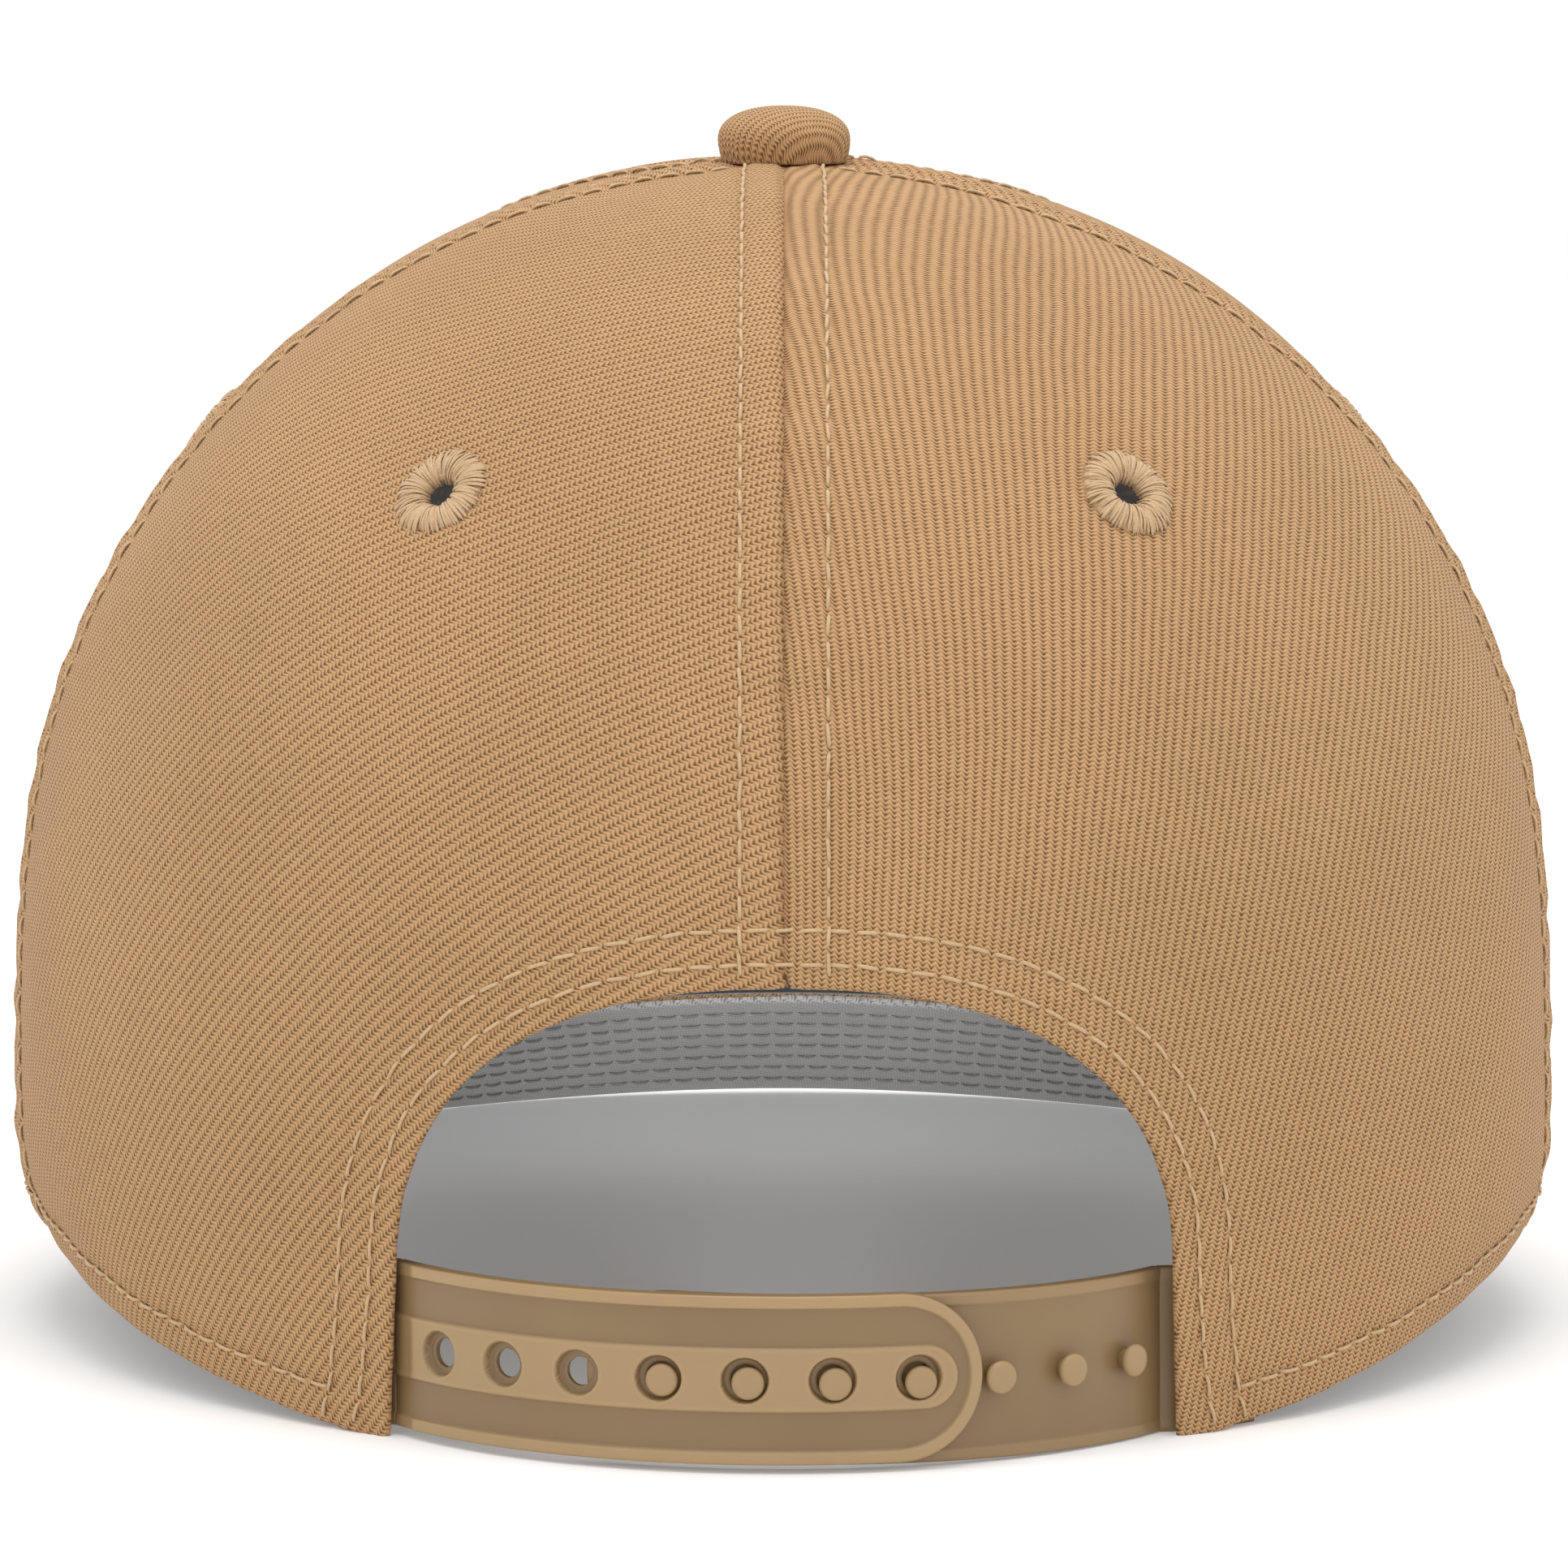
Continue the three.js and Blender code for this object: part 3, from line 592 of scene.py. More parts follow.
def panel(name, start, end, cell, weave, eyelets=()):
    """One crown panel as a closed shell of cloth, cut by the arch and eyelets, with turned edges."""
    columns = int((end - start) / math.degrees(cell / HALF_WIDTH)) + 1
    rows = int(PANEL_RUN / cell)
    az = np.linspace(start, end, columns)
    top = t_at_radius(az, TOP_HOLE_RADIUS)
    ease = np.linspace(0, 1, rows)
    low = WIDEST_T * HEM_ROUND / (WIDEST_Z - edge_z(az))
    grid_t = low[:, None] + (top - low)[:, None] * ease[None, :]
    grid_az = np.repeat(az[:, None], rows, 1)
    faces = grid_faces(columns, rows)
    params = np.stack([grid_az.ravel(), grid_t.ravel()], 1)
    points = crown(params[:, 0], params[:, 1])
    keep = snap_to(arch_distance(points) - HEM_ROUND, faces, params)
    for place_az in eyelets:
        away = np.linalg.norm(points - crown(place_az, EYELET_T), axis=-1)
        keep &= snap_to(away - EYELET_CUT, faces, params)
    faces, params = compact(kept_faces(faces, keep), params)
    az, t = params[:, 0], params[:, 1]
    outer = sewn_point(az, t)
    normals = crown_normal(az, t)
    base = crown(az, t)
    arch = arch_distance(base)
    height = base[:, 2] - edge_z(az)
    edge = np.minimum(arch, height)
    hemmed = 1 - smoothstep(edge / HEM_BLEND)
    thickness = PANEL_THICKNESS + (HEM_THICKNESS - PANEL_THICKNESS) * hemmed
    rounded = (edge < HEM_ROUND + 0.4 * MM).astype(float)
    inner = outer - normals * thickness[:, None]
    verts, shell, source, slip = closed_shell(outer, inner, faces, rounded)
    obj = new_object(name, verts, shell, [TWILL])
    az, t = surface_place(base[source] + slip, (start + end) / 2)
    u = np.radians(az - (start + end) / 2) * plan_radius(az, t)
    set_weave(obj, rib_coordinates(u, meridian_length(az, t), *WEAVES[weave]))
    return obj


def surface_place(p, middle):
    """(azimuths, ts) of points near the crown, with azimuths counted on from a panel's middle."""
    back = AXIS_Y - p[:, 1]
    back = back / np.where(back > 0, HALF_DEPTH_BACK, HALF_DEPTH_FRONT)
    az = np.degrees(np.arctan2(p[:, 0] / HALF_WIDTH, back))
    az = middle + (az - middle + 180) % 360 - 180
    return az, np.clip(t_at_z(az, p[:, 2]), -0.04, 0.9999)


def meridian_length(az, t):
    """Length along the cloth from the widest level, from an average meridian."""
    ts = np.linspace(-0.05, 0.9999, 400)
    line = crown(np.full_like(ts, 40.0), ts)
    steps = np.concatenate([[0], np.cumsum(np.linalg.norm(np.diff(line, axis=0), axis=1))])
    steps -= np.interp(WIDEST_T, ts, steps)
    low = crown(az, t)[..., 2] - WIDEST_Z
    return np.where(t < WIDEST_T, low, np.interp(t, ts, steps))


def lining(name, az, t, depths, mat, bulge=0.0):
    """A sewn layer inside the crown, between two depths, from grids of azimuth and t."""
    faces = grid_faces(*az.shape)
    az, t = az.ravel(), t.ravel()
    normals = crown_normal(az, t)
    outer, inner = [crown(az, t) - normals * np.reshape(depth + bulge, (-1, 1)) for depth in depths]
    verts, shell, _, _ = closed_shell(outer, inner, faces, 1.0)
    obj = new_object(name, verts, shell, [mat])
    return obj


def band(name, low, high, depths):
    """A band of lining round the lower edge, between two heights above it."""
    az = np.linspace(37, 323, 260)
    bottom, top = edge_z(az) + low, edge_z(az) + high
    t = np.stack([t_at_z(az, bottom + (top - bottom) * share) for share in np.linspace(0, 1, 24)], 1)
    return lining(name, np.repeat(az[:, None], 24, 1), t, depths, BAND_CLOTH)


def tape(name, seam, depths, low_t):
    """A seam tape of constant width, following its seam."""
    ts = np.linspace(low_t, float(t_at_radius(np.array(seam), 17 * MM)), 70)
    across = np.linspace(-6, 6, 9) * MM
    az = seam + np.degrees(across[:, None] / plan_radius(np.full_like(ts, seam), ts)[None, :])
    t = np.repeat(ts[None, :], len(across), 0)
    bulge = 0.2 * MM * np.repeat(np.cos(across / (6 * MM) * math.pi / 2), len(ts))
    return lining(name, az, t, depths, GREY_TAPE, bulge)


def tube_faces(rings, sides, closed=False):
    """Quads between neighbouring rings of points, and from the last ring to the first if closed."""
    i, j = np.meshgrid(np.arange(rings if closed else rings - 1), np.arange(sides), indexing="ij")
    a, b = i * sides, (i + 1) % rings * sides
    k = (j + 1) % sides
    return np.stack([a + j, a + k, b + k, b + j], -1).reshape(-1, 4)


def sweep_ring(points, normals, widths, heights):
    """Closed tube with pointed ends along points, with a width and a height at each point."""
    tangents = unit(np.gradient(points, axis=0))
    across = unit(np.cross(tangents, normals))
    up = np.cross(across, tangents)
    angles = np.arange(THREAD_SIDES) * 2 * math.pi / THREAD_SIDES
    rings = (
        points[:, None]
        + across[:, None] * (widths[:, None] * np.cos(angles))[..., None]
        + up[:, None] * (heights[:, None] * np.sin(angles))[..., None]
    )
    quads = tube_faces(len(points), THREAD_SIDES)[:, ::-1].tolist()
    last = (len(points) - 1) * THREAD_SIDES
    first_cap = list(range(THREAD_SIDES))
    return rings.reshape(-1, 3), quads + [first_cap, [last + k for k in reversed(first_cap)]]


class Heap:
    """Collects small closed meshes into one object."""

    def __init__(self):
        self.verts, self.faces, self.count = [], [], 0

    def put(self, verts, faces):
        self.verts.append(verts)
        self.faces += [[v + self.count for v in f] for f in faces]
        self.count += len(verts)

    def build(self, name, mat):
        return new_object(name, np.concatenate(self.verts), self.faces, [mat])


def stitch_line(heap, points, normals):
    """Lays separate stitches along a line of surface points."""
    steps = np.linalg.norm(np.diff(points, axis=0), axis=1)
    along = np.concatenate([[0], np.cumsum(steps)])
    count = max(1, int(along[-1] / STITCH_PITCH))
    real = along[-1] / count
    shares = np.linspace(-1, 1, 7)
    for k in range(count):
        centre = (k + 0.5) * real
        length = real * (STITCH_FILL + rng.uniform(-0.05, 0.04)) / 2
        at = centre + shares * length
        spot = np.stack([np.interp(at, along, points[:, a]) for a in range(3)], 1)
        normal = unit(np.stack([np.interp(at, along, normals[:, a]) for a in range(3)], 1))
        across = unit(np.cross(spot[-1] - spot[0], normal[3]))
        skew = rng.uniform(-0.16, 0.16) * MM
        arc = 1 - shares**4
        lift = 0.3 * MM * arc - 0.25 * MM * (1 - arc)
        spot = spot + normal * lift[:, None] + across * (skew * shares)[:, None]
        size = THREAD_RADIUS * (0.45 + 0.55 * np.sqrt(np.clip(1 - shares**6, 0, 1)))
        heap.put(*sweep_ring(spot, normal, size, size * 0.85))


def crown_line(heap, az, t):
    stitch_line(heap, sewn_point(az, t), crown_normal(az, t))


def seam_rows(heap, seam, offset, low_z):
    """A stitched row beside a panel seam, from a height up to the button."""
    top = float(t_at_radius(np.array(seam), 8.5 * MM))
    low = float(t_at_z(np.array(seam), low_z))
    ts = np.linspace(low, top, 300)
    az = seam + np.degrees(offset / np.maximum(plan_radius(np.full_like(ts, seam), ts), 9 * MM))
    crown_line(heap, az, ts)


def crown_stitching():
    heap = Heap()
    for side in (-1, 1):
        seam_rows(heap, 0.0, side * SEAM_ROW, ARCH_TOP + 1.2 * MM)
        for seam in (SIDE_SEAM, FRONT_SEAM):
            for way in (-1, 1):
                low = float(edge_z(np.array(seam))) + 1.2 * MM
                seam_rows(heap, side * seam, way * SEAM_ROW, low)
    for margin in ARCH_ROWS:
        crown_line(heap, *arch_row(margin))
    for start, end in ((33.5, 180.0), (-180.0, -33.5)):
        az = np.linspace(start, end, 700)
        crown_line(heap, az, t_at_z(az, edge_z(az) + HEM_ROW))
    return heap.build("crown_stitching", THREAD)


EYELET_CORE = [
    (2.2, -0.9), (2.0, 0.0), (2.3, 0.45), (3.0, 0.72), (3.9, 0.78),
    (4.8, 0.6), (5.4, 0.3), (5.6, -0.1), (5.3, -0.9),
]
EYELET_HUMP = np.array([0.1, 0.5, 0.78, 0.95, 1.02, 1.02, 0.95, 0.78, 0.4, -0.5])


def eyelet(name, az):
    """An embroidered eyelet: a ring of radial satin threads over a padded core."""
    origin, normal = crown(az, EYELET_T), crown_normal(az, EYELET_T)
    east = unit(np.cross([0, 0, 1], normal))
    north = np.cross(normal, east)
    heap = Heap()

    def at(radius, angle, lift):
        radius, angle, lift = np.broadcast_arrays(radius, angle, lift)
        fall = 0.5 * radius**2 / (85 * MM) + 0.3 * MM
        flat = east * np.cos(angle)[..., None] + north * np.sin(angle)[..., None]
        return origin + flat * radius[..., None] + normal * (lift - fall)[..., None]

    turn = np.arange(72) * 2 * math.pi / 72
    rings = np.stack([at(r * MM, turn, h * MM) for r, h in EYELET_CORE])
    heap.put(rings.reshape(-1, 3), tube_faces(*rings.shape[:2], closed=True).tolist())
    shares = np.linspace(0, 1, len(EYELET_HUMP))
    for k in range(EYELET_THREADS):
        angle = 2 * math.pi * (k + rng.uniform(-0.3, 0.3)) / EYELET_THREADS
        outer = EYELET_RADIUS * rng.uniform(0.88, 1.03)
        inner = EYELET_HOLE * rng.uniform(0.72, 1.02)
        radius = outer + (inner - outer) * shares
        lean = rng.uniform(-0.05, 0.05) * (1 - shares)
        lift = (EYELET_HUMP + rng.uniform(-0.12, 0.12)) * MM
        points = at(radius, angle + lean, lift)
        widths = np.interp(shares, [0, 0.12, 1], [0.07, 0.2, 0.1]) * MM
        normals = np.repeat(normal[None], len(points), 0)
        heap.put(*sweep_ring(points, normals, widths, widths * 0.75))
    return heap.build(name, EYELET_THREAD)


def button():
    """The covered button: a squat dome whose cloth is drawn in below its widest part."""
    base, top = CROWN_TOP - 0.1 * MM, float(button_high[2]) + 0.2 * MM
    high = top - base
    dome = 1 - BUTTON_WAIST
    above = BUTTON_WAIST + dome * np.sin(np.linspace(0, math.pi / 2, 24)[1:])
    rise = np.concatenate([np.linspace(0, BUTTON_WAIST, 9), above])
    lower = 0.92 + 0.08 * np.sin(np.clip(rise / BUTTON_WAIST, 0, 1) * math.pi / 2)
    share = np.clip(rise - BUTTON_WAIST, 0, 1) / dome
    upper = np.clip(1 - share**BUTTON_POWER, 0, 1) ** (1 / BUTTON_POWER)
    radius = np.concatenate([[0], BUTTON_RADIUS * lower * upper])
    height = base + high * np.concatenate([[0], rise])
    turn = np.arange(BUTTON_SIDES) * 2 * math.pi / BUTTON_SIDES
    low = smoothstep((base + high * 0.45 - height) / (high * 0.45))[:, None]
    fold = 1 + low * (0.014 * np.sin(turn * 13) + 0.01 * np.sin(turn * 31 + 1))
    spread = radius[:, None] * fold
    x, y = spread * np.sin(turn), AXIS_Y - spread * np.cos(turn)
    rings = np.stack([x, y, np.broadcast_to(height[:, None], x.shape)], -1)
    verts, faces = turned_solid(rings)
    obj = new_object("button_cloth", verts, faces, [TWILL])
    reach = np.hypot(verts[:, 0], verts[:, 1] - AXIS_Y) + (top - verts[:, 2]) * 0.8
    angle = np.arctan2(verts[:, 0], AXIS_Y - verts[:, 1])
    set_weave(obj, rib_coordinates(reach * np.sin(angle), reach * np.cos(angle), 150.0, (0, 0, 0)))
    return obj


# ---------------------------------------------------------------- snap strap
STRAP_CENTRE_Y = AXIS_Y - 57.5 * MM
STRAP_RADIUS = 52.5 * MM
STRAP_THICKNESS = 1.3 * MM
STRAP_GAP = 0.3 * MM
STRAP_LOW, STRAP_HIGH = [float(corner[2]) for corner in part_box("strap_holes")]
STRAP_HEIGHT = STRAP_HIGH - STRAP_LOW
STRAP_MID_Z = (STRAP_LOW + STRAP_HIGH) / 2
ROOT_ANGLE = 54.0
PITCH_ANGLE = 10.37
FIRST_HOLE = -46.1
HOLE_COUNT, PEG_COUNT, FIRST_SHARED = 7, 7, 3
HOLE_TIP, PEG_TIP = 24.2, -25.0
RIM_WIDTH = 1.45 * MM
BAND_HALF = 3.6 * MM
BAND_RISE = 0.42 * MM
HOLE_RIM_RISE, PEG_RIM_RISE = 0.48 * MM, 0.2 * MM
COUNTERBORE, THROUGH_HOLE = 2.5 * MM, 1.65 * MM
STRAP_CELL = 0.16 * MM
STRAP_EDGE = 0.3 * MM
STEP_WIDTH = 0.24 * MM
BORE_DEPTH = 1.05 * MM
SHADE_RISE = 0.5 * MM
FLANGE_DEPTH = 2.7 * MM
ROOT_REACH = 1.2 * MM
ROOT_RELIEF = 0.4
ROOT_RUN, ROOT_FADE = 2.7 * MM, 1.5 * MM
FLANGE_COLUMNS, FLANGE_ROWS = 40, 60


def along(angle):
    return math.radians(angle) * STRAP_RADIUS


def hole_angle(i):
    return FIRST_HOLE + i * PITCH_ANGLE


def bar_distance(x, y, tip, way, half):
    """Distance inside a bar with a round end at the tip that runs on the other way for ever."""
    centre = tip - way * half
    return half - np.where((x - centre) * way > 0, np.hypot(x - centre, y), np.abs(y))


def step(distance, width=STEP_WIDTH):
    return smoothstep(distance / width + 0.5)


def bent(x, y, radius):
    """Places on the strap's arc from its flat pattern: x along it, y up it, at a radius."""
    angle = x / STRAP_RADIUS
    back = STRAP_CENTRE_Y - radius * np.cos(angle)
    return np.stack([radius * np.sin(angle), back, STRAP_MID_Z + y], -1)


def strap_plate(name, root, tip, inner_radius, rim_rise, band_tip=None, holes=(), sag=0.0):
    """A moulded strap: a plate with a raised rim, a low middle band and stepped snap holes."""
    way = 1 if tip > root else -1
    half = STRAP_HEIGHT / 2
    low, high = sorted((root, tip + way * MM))
    xs = np.arange(low, high + STRAP_CELL, STRAP_CELL)
    ys = np.linspace(-half - 0.3 * MM, half + 0.3 * MM, int((STRAP_HEIGHT + 0.6 * MM) / STRAP_CELL))
    x, y = [g.ravel() for g in np.meshgrid(xs, ys, indexing="ij")]
    params = np.stack([x, y], 1)
    faces = grid_faces(len(xs), len(ys))
    keep = snap_to(bar_distance(x, y, tip, way, half), faces, params)
    for hole in holes:
        keep &= snap_to(np.hypot(x - hole, y) - THROUGH_HOLE, faces, params)
    faces, params = compact(kept_faces(faces, keep), params)
    x, y = params.T
    edge = bar_distance(x, y, tip, way, half)
    rise = rim_rise * (1 - step(edge - RIM_WIDTH))
    thin = ROOT_RELIEF + (1 - ROOT_RELIEF) * smoothstep(((x - root) * way - ROOT_RUN) / ROOT_FADE)
    turned = 1 - np.clip(edge / STRAP_EDGE, 0, 1)
    rise = rise * thin - STRAP_EDGE * (1 - np.sqrt(np.clip(1 - turned**2, 0, 1)))
    if band_tip is not None:
        band = bar_distance(x, y, band_tip, way, BAND_HALF)
        rise = rise + BAND_RISE * thin * step(band)
        rise = rise + 0.07 * MM * bump(band, 0.35 * MM, 0.22 * MM)
    for hole in holes:
        away = np.hypot(x - hole, y)
        rise = rise - BORE_DEPTH * (1 - step(away - COUNTERBORE, 0.28 * MM))
        rise = rise + 0.06 * MM * bump(away, COUNTERBORE + 0.32 * MM, 0.2 * MM)
        rise = rise - 0.12 * MM * (1 - smoothstep((away - THROUGH_HOLE) / (0.25 * MM)))
    waver = 0.04 * MM * np.sin(x / (6.3 * MM)) * np.sin(y / (4.1 * MM) + x / (17 * MM))
    level = y - sag * np.clip((x - tip) / (root - tip), 0, 1)
    outer = bent(x, level, inner_radius + STRAP_THICKNESS + rise + waver)
    inner = bent(x, level, np.full_like(x, inner_radius))
    verts, faces, source, _ = closed_shell(outer, inner, faces, 0.0)
    obj = new_object(name, verts, faces, [STRAP_PLASTIC])
    # The strap's rise sets its painted highlight on rims and band and its painted shade in the
    # counterbores.
    set_shade(obj, np.clip(rise / SHADE_RISE, 0, 1)[source])
    return obj


PEG_PROFILE = [
    (0, 0.6), (1.2, 0.6), (1.2, 2.1), (1.45, 2.25), (1.78, 2.5), (1.86, 2.75),
    (1.86, 3.0), (1.78, 3.2), (1.6, 3.36), (1.3, 3.45), (0.8, 3.49), (0, 3.5),
]
PEG_SHIFT, PEG_DROP = 0.32 * MM, -0.1 * MM
PEG_STRAP_SAG = 0.95 * MM
PEG_SIDES = 40


def peg(heap, angle, inner):
    """One snap: a necked stem with a rounded head, standing out of the strap."""
    centre = math.radians(angle) + PEG_SHIFT / STRAP_RADIUS
    out = np.array([math.sin(centre), -math.cos(centre), 0])
    side = np.array([math.cos(centre), math.sin(centre), 0])
    up = np.array([0, 0, 1.0])
    sag = PEG_STRAP_SAG * (angle - PEG_TIP) / (ROOT_ANGLE - PEG_TIP)
    base = np.array([0, STRAP_CENTRE_Y, STRAP_MID_Z + PEG_DROP - sag])
    turn = np.arange(PEG_SIDES) * 2 * math.pi / PEG_SIDES
    around = side * np.cos(turn)[:, None] + up * np.sin(turn)[:, None]
    rings = [base + out * (inner + h * MM) + around * r * MM for r, h in PEG_PROFILE]
    heap.put(*turned_solid(np.stack(rings)))


def turned_solid(rings):
    """Closed mesh through rings of points, whose first and last rings have shrunk to a point."""
    count, sides = rings.shape[:2]
    verts = np.concatenate([rings[0, :1], rings[1:-1].reshape(-1, 3), rings[-1, :1]])
    last = len(verts) - 1
    faces = []
    for k in range(sides):
        n = (k + 1) % sides
        faces.append([0, 1 + n, 1 + k])
        for i in range(count - 3):
            a, b = 1 + i * sides, 1 + (i + 1) * sides
            faces.append([a + k, a + n, b + n, b + k])
        faces.append([last, 1 + (count - 3) * sides + k, 1 + (count - 3) * sides + n])
    return verts, faces


def hole_strap():
    holes = [along(hole_angle(i)) for i in range(HOLE_COUNT)]
    radius = STRAP_RADIUS + STRAP_GAP / 2
    tip = along(HOLE_TIP)
    root = along(-ROOT_ANGLE) - ROOT_REACH
    return strap_plate("strap_with_holes", root, tip, radius, HOLE_RIM_RISE, tip - 2.9 * MM, holes)


def peg_strap():
    radius = STRAP_RADIUS - STRAP_GAP / 2 - STRAP_THICKNESS
    ends = along(ROOT_ANGLE) + ROOT_REACH, along(PEG_TIP)
    strap = strap_plate("strap_with_pegs", *ends, radius, PEG_RIM_RISE, sag=PEG_STRAP_SAG)
    heap = Heap()
    for i in range(FIRST_SHARED, FIRST_SHARED + PEG_COUNT):
        peg(heap, hole_angle(i), radius)
    snaps = heap.build("strap_snaps", STRAP_PLASTIC)
    # The snaps get a painted highlight, as if raised into the light.
    set_shade(snaps, np.full(len(snaps.data.vertices), 0.8))
    return strap, snaps


def flange(name, side):
    """The plain strip of a strap that runs from its root to under the edge of the crown."""
    mid = STRAP_RADIUS + (1 if side < 0 else -1) * (STRAP_GAP + STRAP_THICKNESS) / 2
    root = math.radians(ROOT_ANGLE) + (ROOT_REACH + 0.12 * MM) / STRAP_RADIUS
    start = [mid * math.sin(root), STRAP_CENTRE_Y - mid * math.cos(root)]
    az = np.linspace(30.0, 36.0, 5)
    t = t_at_z(az, np.full_like(az, STRAP_MID_Z))
    under = (crown(az, t) - crown_normal(az, t) * FLANGE_DEPTH)[:, :2]
    path = np.concatenate([[start], under])
    share = np.linspace(0, 1, FLANGE_COLUMNS)
    length = np.concatenate([[0], np.cumsum(np.linalg.norm(np.diff(path, axis=0), axis=1))])
    x, y = [np.interp(share * length[-1], length, path[:, k]) for k in (0, 1)]
    z = np.linspace(STRAP_LOW, STRAP_HIGH, FLANGE_ROWS)
    drop = PEG_STRAP_SAG if side > 0 else 0.0
    way = unit(np.gradient(np.stack([x, y], 1), axis=0))
    out = np.stack([way[:, 1], -way[:, 0], 0 * x], 1)
    points = np.stack(np.broadcast_arrays(x[:, None], y[:, None], z[None] - drop), -1)
    rim = np.minimum(z - STRAP_LOW, STRAP_HIGH - z)
    rim_rise = HOLE_RIM_RISE if side < 0 else PEG_RIM_RISE
    rise = rim_rise * ROOT_RELIEF * (1 - step(rim - RIM_WIDTH))
    rise = rise - STRAP_EDGE * (1 - step(rim - STRAP_EDGE / 2, STRAP_EDGE))
    if side < 0:
        rise = rise + BAND_RISE * ROOT_RELIEF * step(BAND_HALF - np.abs(z - STRAP_MID_Z))
    fade = 1 - smoothstep((share - 0.1) / 0.3)
    thick = (0.35 + 0.3 * fade) * MM
    face = out[:, None, :] * (thick[:, None] + rise[None] * fade[:, None])[..., None]
    back = out[:, None, :] * -thick[:, None, None]
    flip = np.array([side, 1, 1])
    outer = ((points + face) * flip).reshape(-1, 3)
    inner = ((points + back) * flip).reshape(-1, 3)
    faces = grid_faces(FLANGE_COLUMNS, FLANGE_ROWS)
    if side < 0:
        faces = faces[:, ::-1]
    verts, faces, source, _ = closed_shell(outer, inner, faces, 0.0)
    obj = new_object(name, verts, faces, [STRAP_PLASTIC])
    # The flange's rise sets its painted highlight and painted shade.
    set_shade(obj, np.tile(np.clip(rise / SHADE_RISE, 0, 1), FLANGE_COLUMNS)[source])
    return obj


# ---------------------------------------------------------------- visor
VISOR_HALF_ANGLE = 63.0
VISOR_LENGTH = 70 * MM
VISOR_FULLNESS = 2.6
VISOR_DROOP, VISOR_SIDE_DROOP = 0.31, 0.035
VISOR_ROOT_RISE = 3.1 * MM
VISOR_ROOT_GAP = 0.45 * MM
VISOR_DEPTH = 4.0 * MM
VISOR_COVER = 1.3 * MM
RIM_SETTLE = 0.8 * MM
VISOR_ROWS = np.arange(1, 8) / 8.0


def visor_point(across, out):
    """Points of the visor's upper face: across from -1 to 1, out from the root (0) to the rim (1)."""
    az = 180 + across * VISOR_HALF_ANGLE
    root = crown(az, t_at_z(az, edge_z(az) + VISOR_ROOT_RISE))
    outwards = unit(root[..., :2] - np.array([0, AXIS_Y]))
    way = unit(outwards * np.array([0.45, 1.0]) + np.array([0, 0.55]))
    run = (VISOR_LENGTH * (1 - np.abs(across) ** VISOR_FULLNESS) ** 0.8 + 1.2 * MM) * out
    slope = VISOR_DROOP + VISOR_SIDE_DROOP * np.sin(np.radians(az)) ** 2
    xy = root[..., :2] + outwards * VISOR_ROOT_GAP + way * run[..., None]
    settle = RIM_SETTLE * out**3 * np.clip(1 - (across / 0.55) ** 2, 0, 1)
    z = root[..., 2] - slope * run - settle
    return np.concatenate([xy, z[..., None]], -1)


def visor_normal(across, out):
    e = 0.01
    a = visor_point(np.clip(across + e, -1, 1), out) - visor_point(np.clip(across - e, -1, 1), out)
    b = visor_point(across, out + e) - visor_point(across, out - e)
    n = unit(np.cross(b, a))
    return n * np.sign(n[..., 2:3])


def visor_cover(name, top, mat):
    """One cloth cover of the visor, quilted by its rows of stitching, with a turned rim."""
    across = np.linspace(-1, 1, 181)
    out = np.linspace(0, 1, 81)
    grid_a, grid_o = [g.ravel() for g in np.meshgrid(across, out, indexing="ij")]
    normals = visor_normal(grid_a, np.clip(grid_o, 0.02, 0.98))
    points = visor_point(grid_a, grid_o)
    run = VISOR_LENGTH * (1 - grid_o)
    quilt = sum(-0.16 * bump(grid_o, row, 0.012) for row in VISOR_ROWS) * MM
    rim = -(0.8 if top else 0.1) * MM * (1 - smoothstep(run / (1.6 * MM)))
    side = 1 if top else -1
    outer = points + normals * (side * (quilt + rim) - (0 if top else VISOR_DEPTH))[:, None]
    faces = grid_faces(len(across), len(out))
    if top:
        faces = faces[:, ::-1]
    inner = outer - normals * (side * VISOR_COVER)
    verts, shell, source, slip = closed_shell(outer, inner, faces, 0.8)
    obj = new_object(name, verts, shell, [mat])
    spots = points[source] + slip
    set_weave(obj, rib_coordinates(spots[:, 0], spots[:, 1], 40.0, (0, 0, 0)))
    return obj


def visor_stitching(name, mat, depth, side):
    """The visor's rows of stitches on one face, at a depth below its upper surface."""
    heap = Heap()
    across = np.linspace(-0.93, 0.93, 500)
    for row in VISOR_ROWS:
        out = np.full_like(across, row)
        normals = visor_normal(across, out)
        stitch_line(heap, visor_point(across, out) - normals * depth, normals * side)
    return heap.build(name, mat)


# ---------------------------------------------------------------- assembly
back, side, front = EYELETS["back"], EYELETS["side"], 360 - FRONT_SEAM
for name, start, end, cell, weave, holes in (
    ("back_{}_left", -SIDE_SEAM, 0.0, CELL, "left", [-back]),
    ("back_{}_right", 0.0, SIDE_SEAM, CELL, "right", [back]),
    ("side_{}_left", -FRONT_SEAM, -SIDE_SEAM, COARSE_CELL, "right", [-side]),
    ("side_{}_right", SIDE_SEAM, FRONT_SEAM, COARSE_CELL, "left", [side]),
    ("front_{}", FRONT_SEAM, front, COARSE_CELL, "plain", []),
):
    cloth = panel(name.format("cloth"), start, end, cell, weave, holes)
    place(cloth, "cap", "twill", name.format("panel"))

place(crown_stitching(), "cap", "thread")
for where, az in EYELETS.items():
    for word, side in (("left", -1), ("right", 1)):
        ring = eyelet(f"eyelet_ring_{where}_{word}", side * az)
        place(ring, "cap", "thread", f"eyelet_{where}_{word}")
place(button(), "cap", "twill", "button_cover")

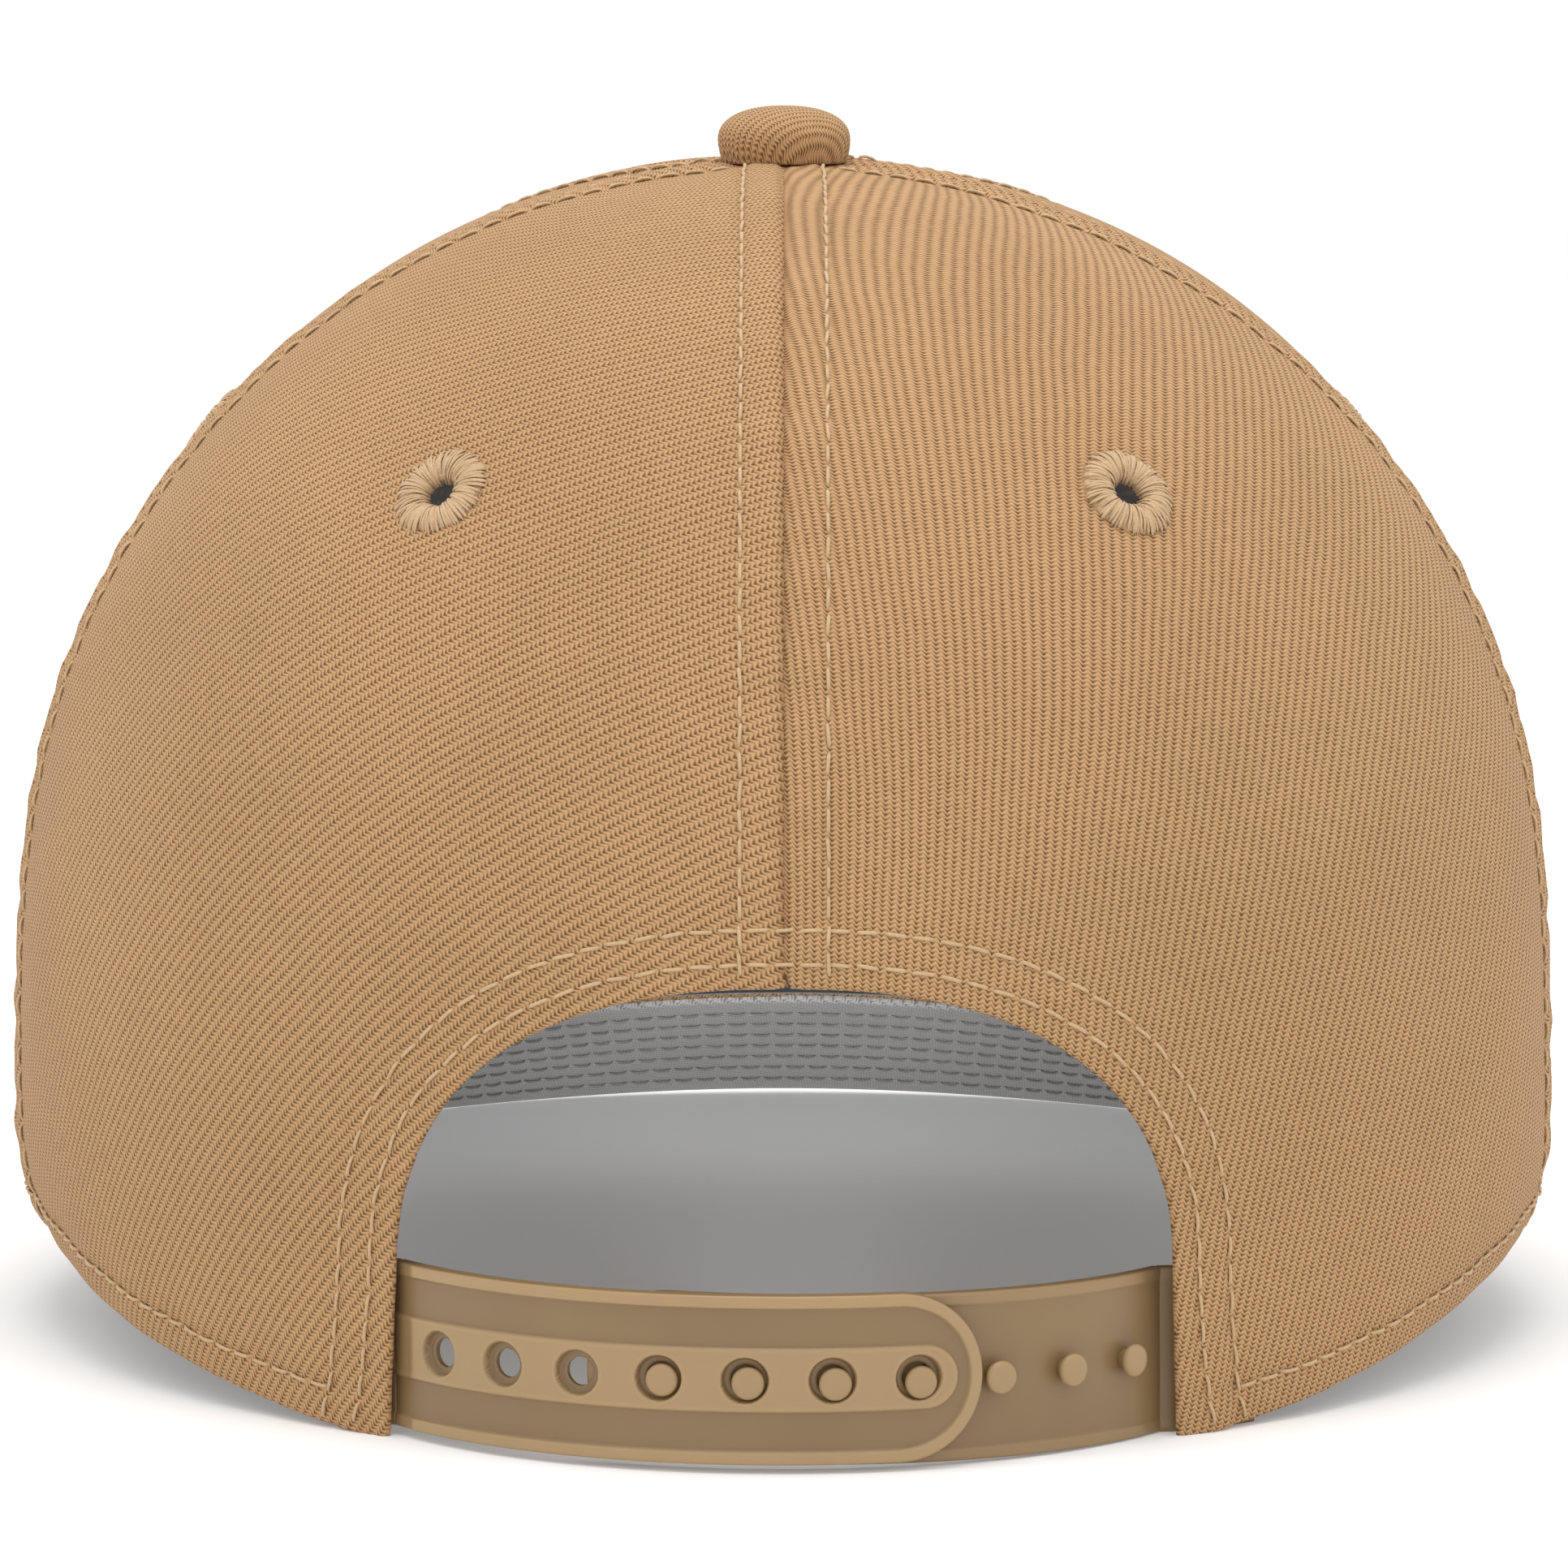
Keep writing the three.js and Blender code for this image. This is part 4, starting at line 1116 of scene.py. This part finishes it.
place(hole_strap(), "hole_strap", "strap", "strap_holes")
plate, pegs = peg_strap()
place(plate, "peg_strap", "strap", "strap_pegs")
place(pegs, "peg_strap", "strap")
place(flange("strap_root_left", -1), "cap", "strap", "strap_flange_left")
place(flange("strap_root_right", 1), "cap", "strap", "strap_flange_right")

place(visor_cover("visor_cloth_top", True, TWILL), "cap", "twill", "visor_top_cover")
place(visor_cover("visor_cloth_under", False, GREY_TWILL), "cap", "under_visor", "visor_under_cover")
for name, mat, depth, side in (
    ("visor_stitching_top", THREAD, 0.1 * MM, 1),
    ("visor_stitching_under", GREY_THREAD, VISOR_DEPTH - 0.1 * MM, -1),
):
    place(visor_stitching(name, mat, depth, side), "cap", "thread")

for name, high, depths, node in (
    ("sweatband", 32 * MM, (3.65 * MM, 4.45 * MM), "sweatband_face"),
    ("sweatband_backing", 31 * MM, (2.7 * MM, 3.3 * MM), "sweatband_liner"),
):
    place(band(name, 1.2 * MM, high, depths), "cap", "sweatband", node)

TAPE_LOW, BACK_TAPE_LOW = 0.02, float(t_at_z(np.array(0.0), ARCH_TOP + 12 * MM))
TAPE_DEPTHS, FRONT_TAPE_DEPTHS = (1.35 * MM, 1.95 * MM), (1.75 * MM, 2.35 * MM)
for name, seam, depths, low in (
    ("seam_tape_side_left", -SIDE_SEAM, TAPE_DEPTHS, TAPE_LOW),
    ("seam_tape_side_right", SIDE_SEAM, TAPE_DEPTHS, TAPE_LOW),
    ("seam_tape_front_left", -FRONT_SEAM, FRONT_TAPE_DEPTHS, TAPE_LOW),
    ("seam_tape_front_right", FRONT_SEAM, FRONT_TAPE_DEPTHS, TAPE_LOW),
    ("seam_tape_back", 0.0, TAPE_DEPTHS, BACK_TAPE_LOW),
):
    place(tape(name + "_cloth", seam, depths, low), "cap", "tape", name)

FINISHES = {
    "front_buckram": BUCKRAM, "arch_facing": GREY_TAPE, "button_shell": METAL,
    "button_tack": METAL, "visor_board": BOARD,
}
for node, mat in FINISHES.items():
    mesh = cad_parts[node].data
    mesh.materials.clear()
    mesh.materials.append(mat)

# ---------------------------------------------------------------- stage
corners = [(-3, -3, 0), (3, -3, 0), (3, 3, 0), (-3, 3, 0)]
floor = new_object("floor", corners, [(0, 1, 2, 3)], [floor_material()], False)

CAMERA_DISTANCE = 1.0
CAMERA_HEIGHT = 0.1794
CAMERA_PITCH = 0.1143
CAMERA_LENS = 186.1
camera = bpy.data.objects.new("camera", bpy.data.cameras.new("camera"))
bpy.context.scene.collection.objects.link(camera)
camera.data.lens = CAMERA_LENS
camera.data.sensor_width = 36
camera.location = (0, AXIS_Y - CAMERA_DISTANCE, CAMERA_HEIGHT)
camera.rotation_euler = (math.pi / 2 - CAMERA_PITCH, 0, 0)
bpy.context.scene.camera = camera


def lamp(name, kind, location, target, power, **settings):
    """A lamp at a place, aimed at a target."""
    light = bpy.data.lights.new(name, kind)
    light.energy = power
    for key, value in settings.items():
        setattr(light, key, value)
    obj = bpy.data.objects.new(name, light)
    bpy.context.scene.collection.objects.link(obj)
    obj.location = location
    obj.rotation_euler = (Vector(target) - Vector(location)).to_track_quat("-Z", "Y").to_euler()


MIDDLE = (0, AXIS_Y, 0.07)
lamp("key", "AREA", (-0.5, AXIS_Y - 0.9, 1.3), MIDDLE, 0.9, shape="DISK", size=0.9)
lamp("fill", "AREA", (0.9, AXIS_Y - 1.0, 0.8), MIDDLE, 0.4, shape="DISK", size=1.0)
lamp("top", "AREA", (0, AXIS_Y - 0.1, 1.5), MIDDLE, 10.0, shape="DISK", size=1.0)

# A small lamp low inside the crown lights the underside of the visor.
INNER, AHEAD = (0, AXIS_Y - 0.03, 0.013), (0, AXIS_Y + 0.15, 0.021)
CONE = {"spot_size": math.radians(34), "spot_blend": 0.6, "shadow_soft_size": 0.018}
lamp("inner_forward", "SPOT", INNER, AHEAD, 0.35, **CONE)

world = bpy.data.worlds.new("studio")
world.use_nodes = True
feed(world.node_tree.nodes["Background"], {"Color": (1, 1, 1, 1), "Strength": 1.0})
bpy.context.scene.world = world
bpy.context.scene.view_settings.view_transform = "Standard"
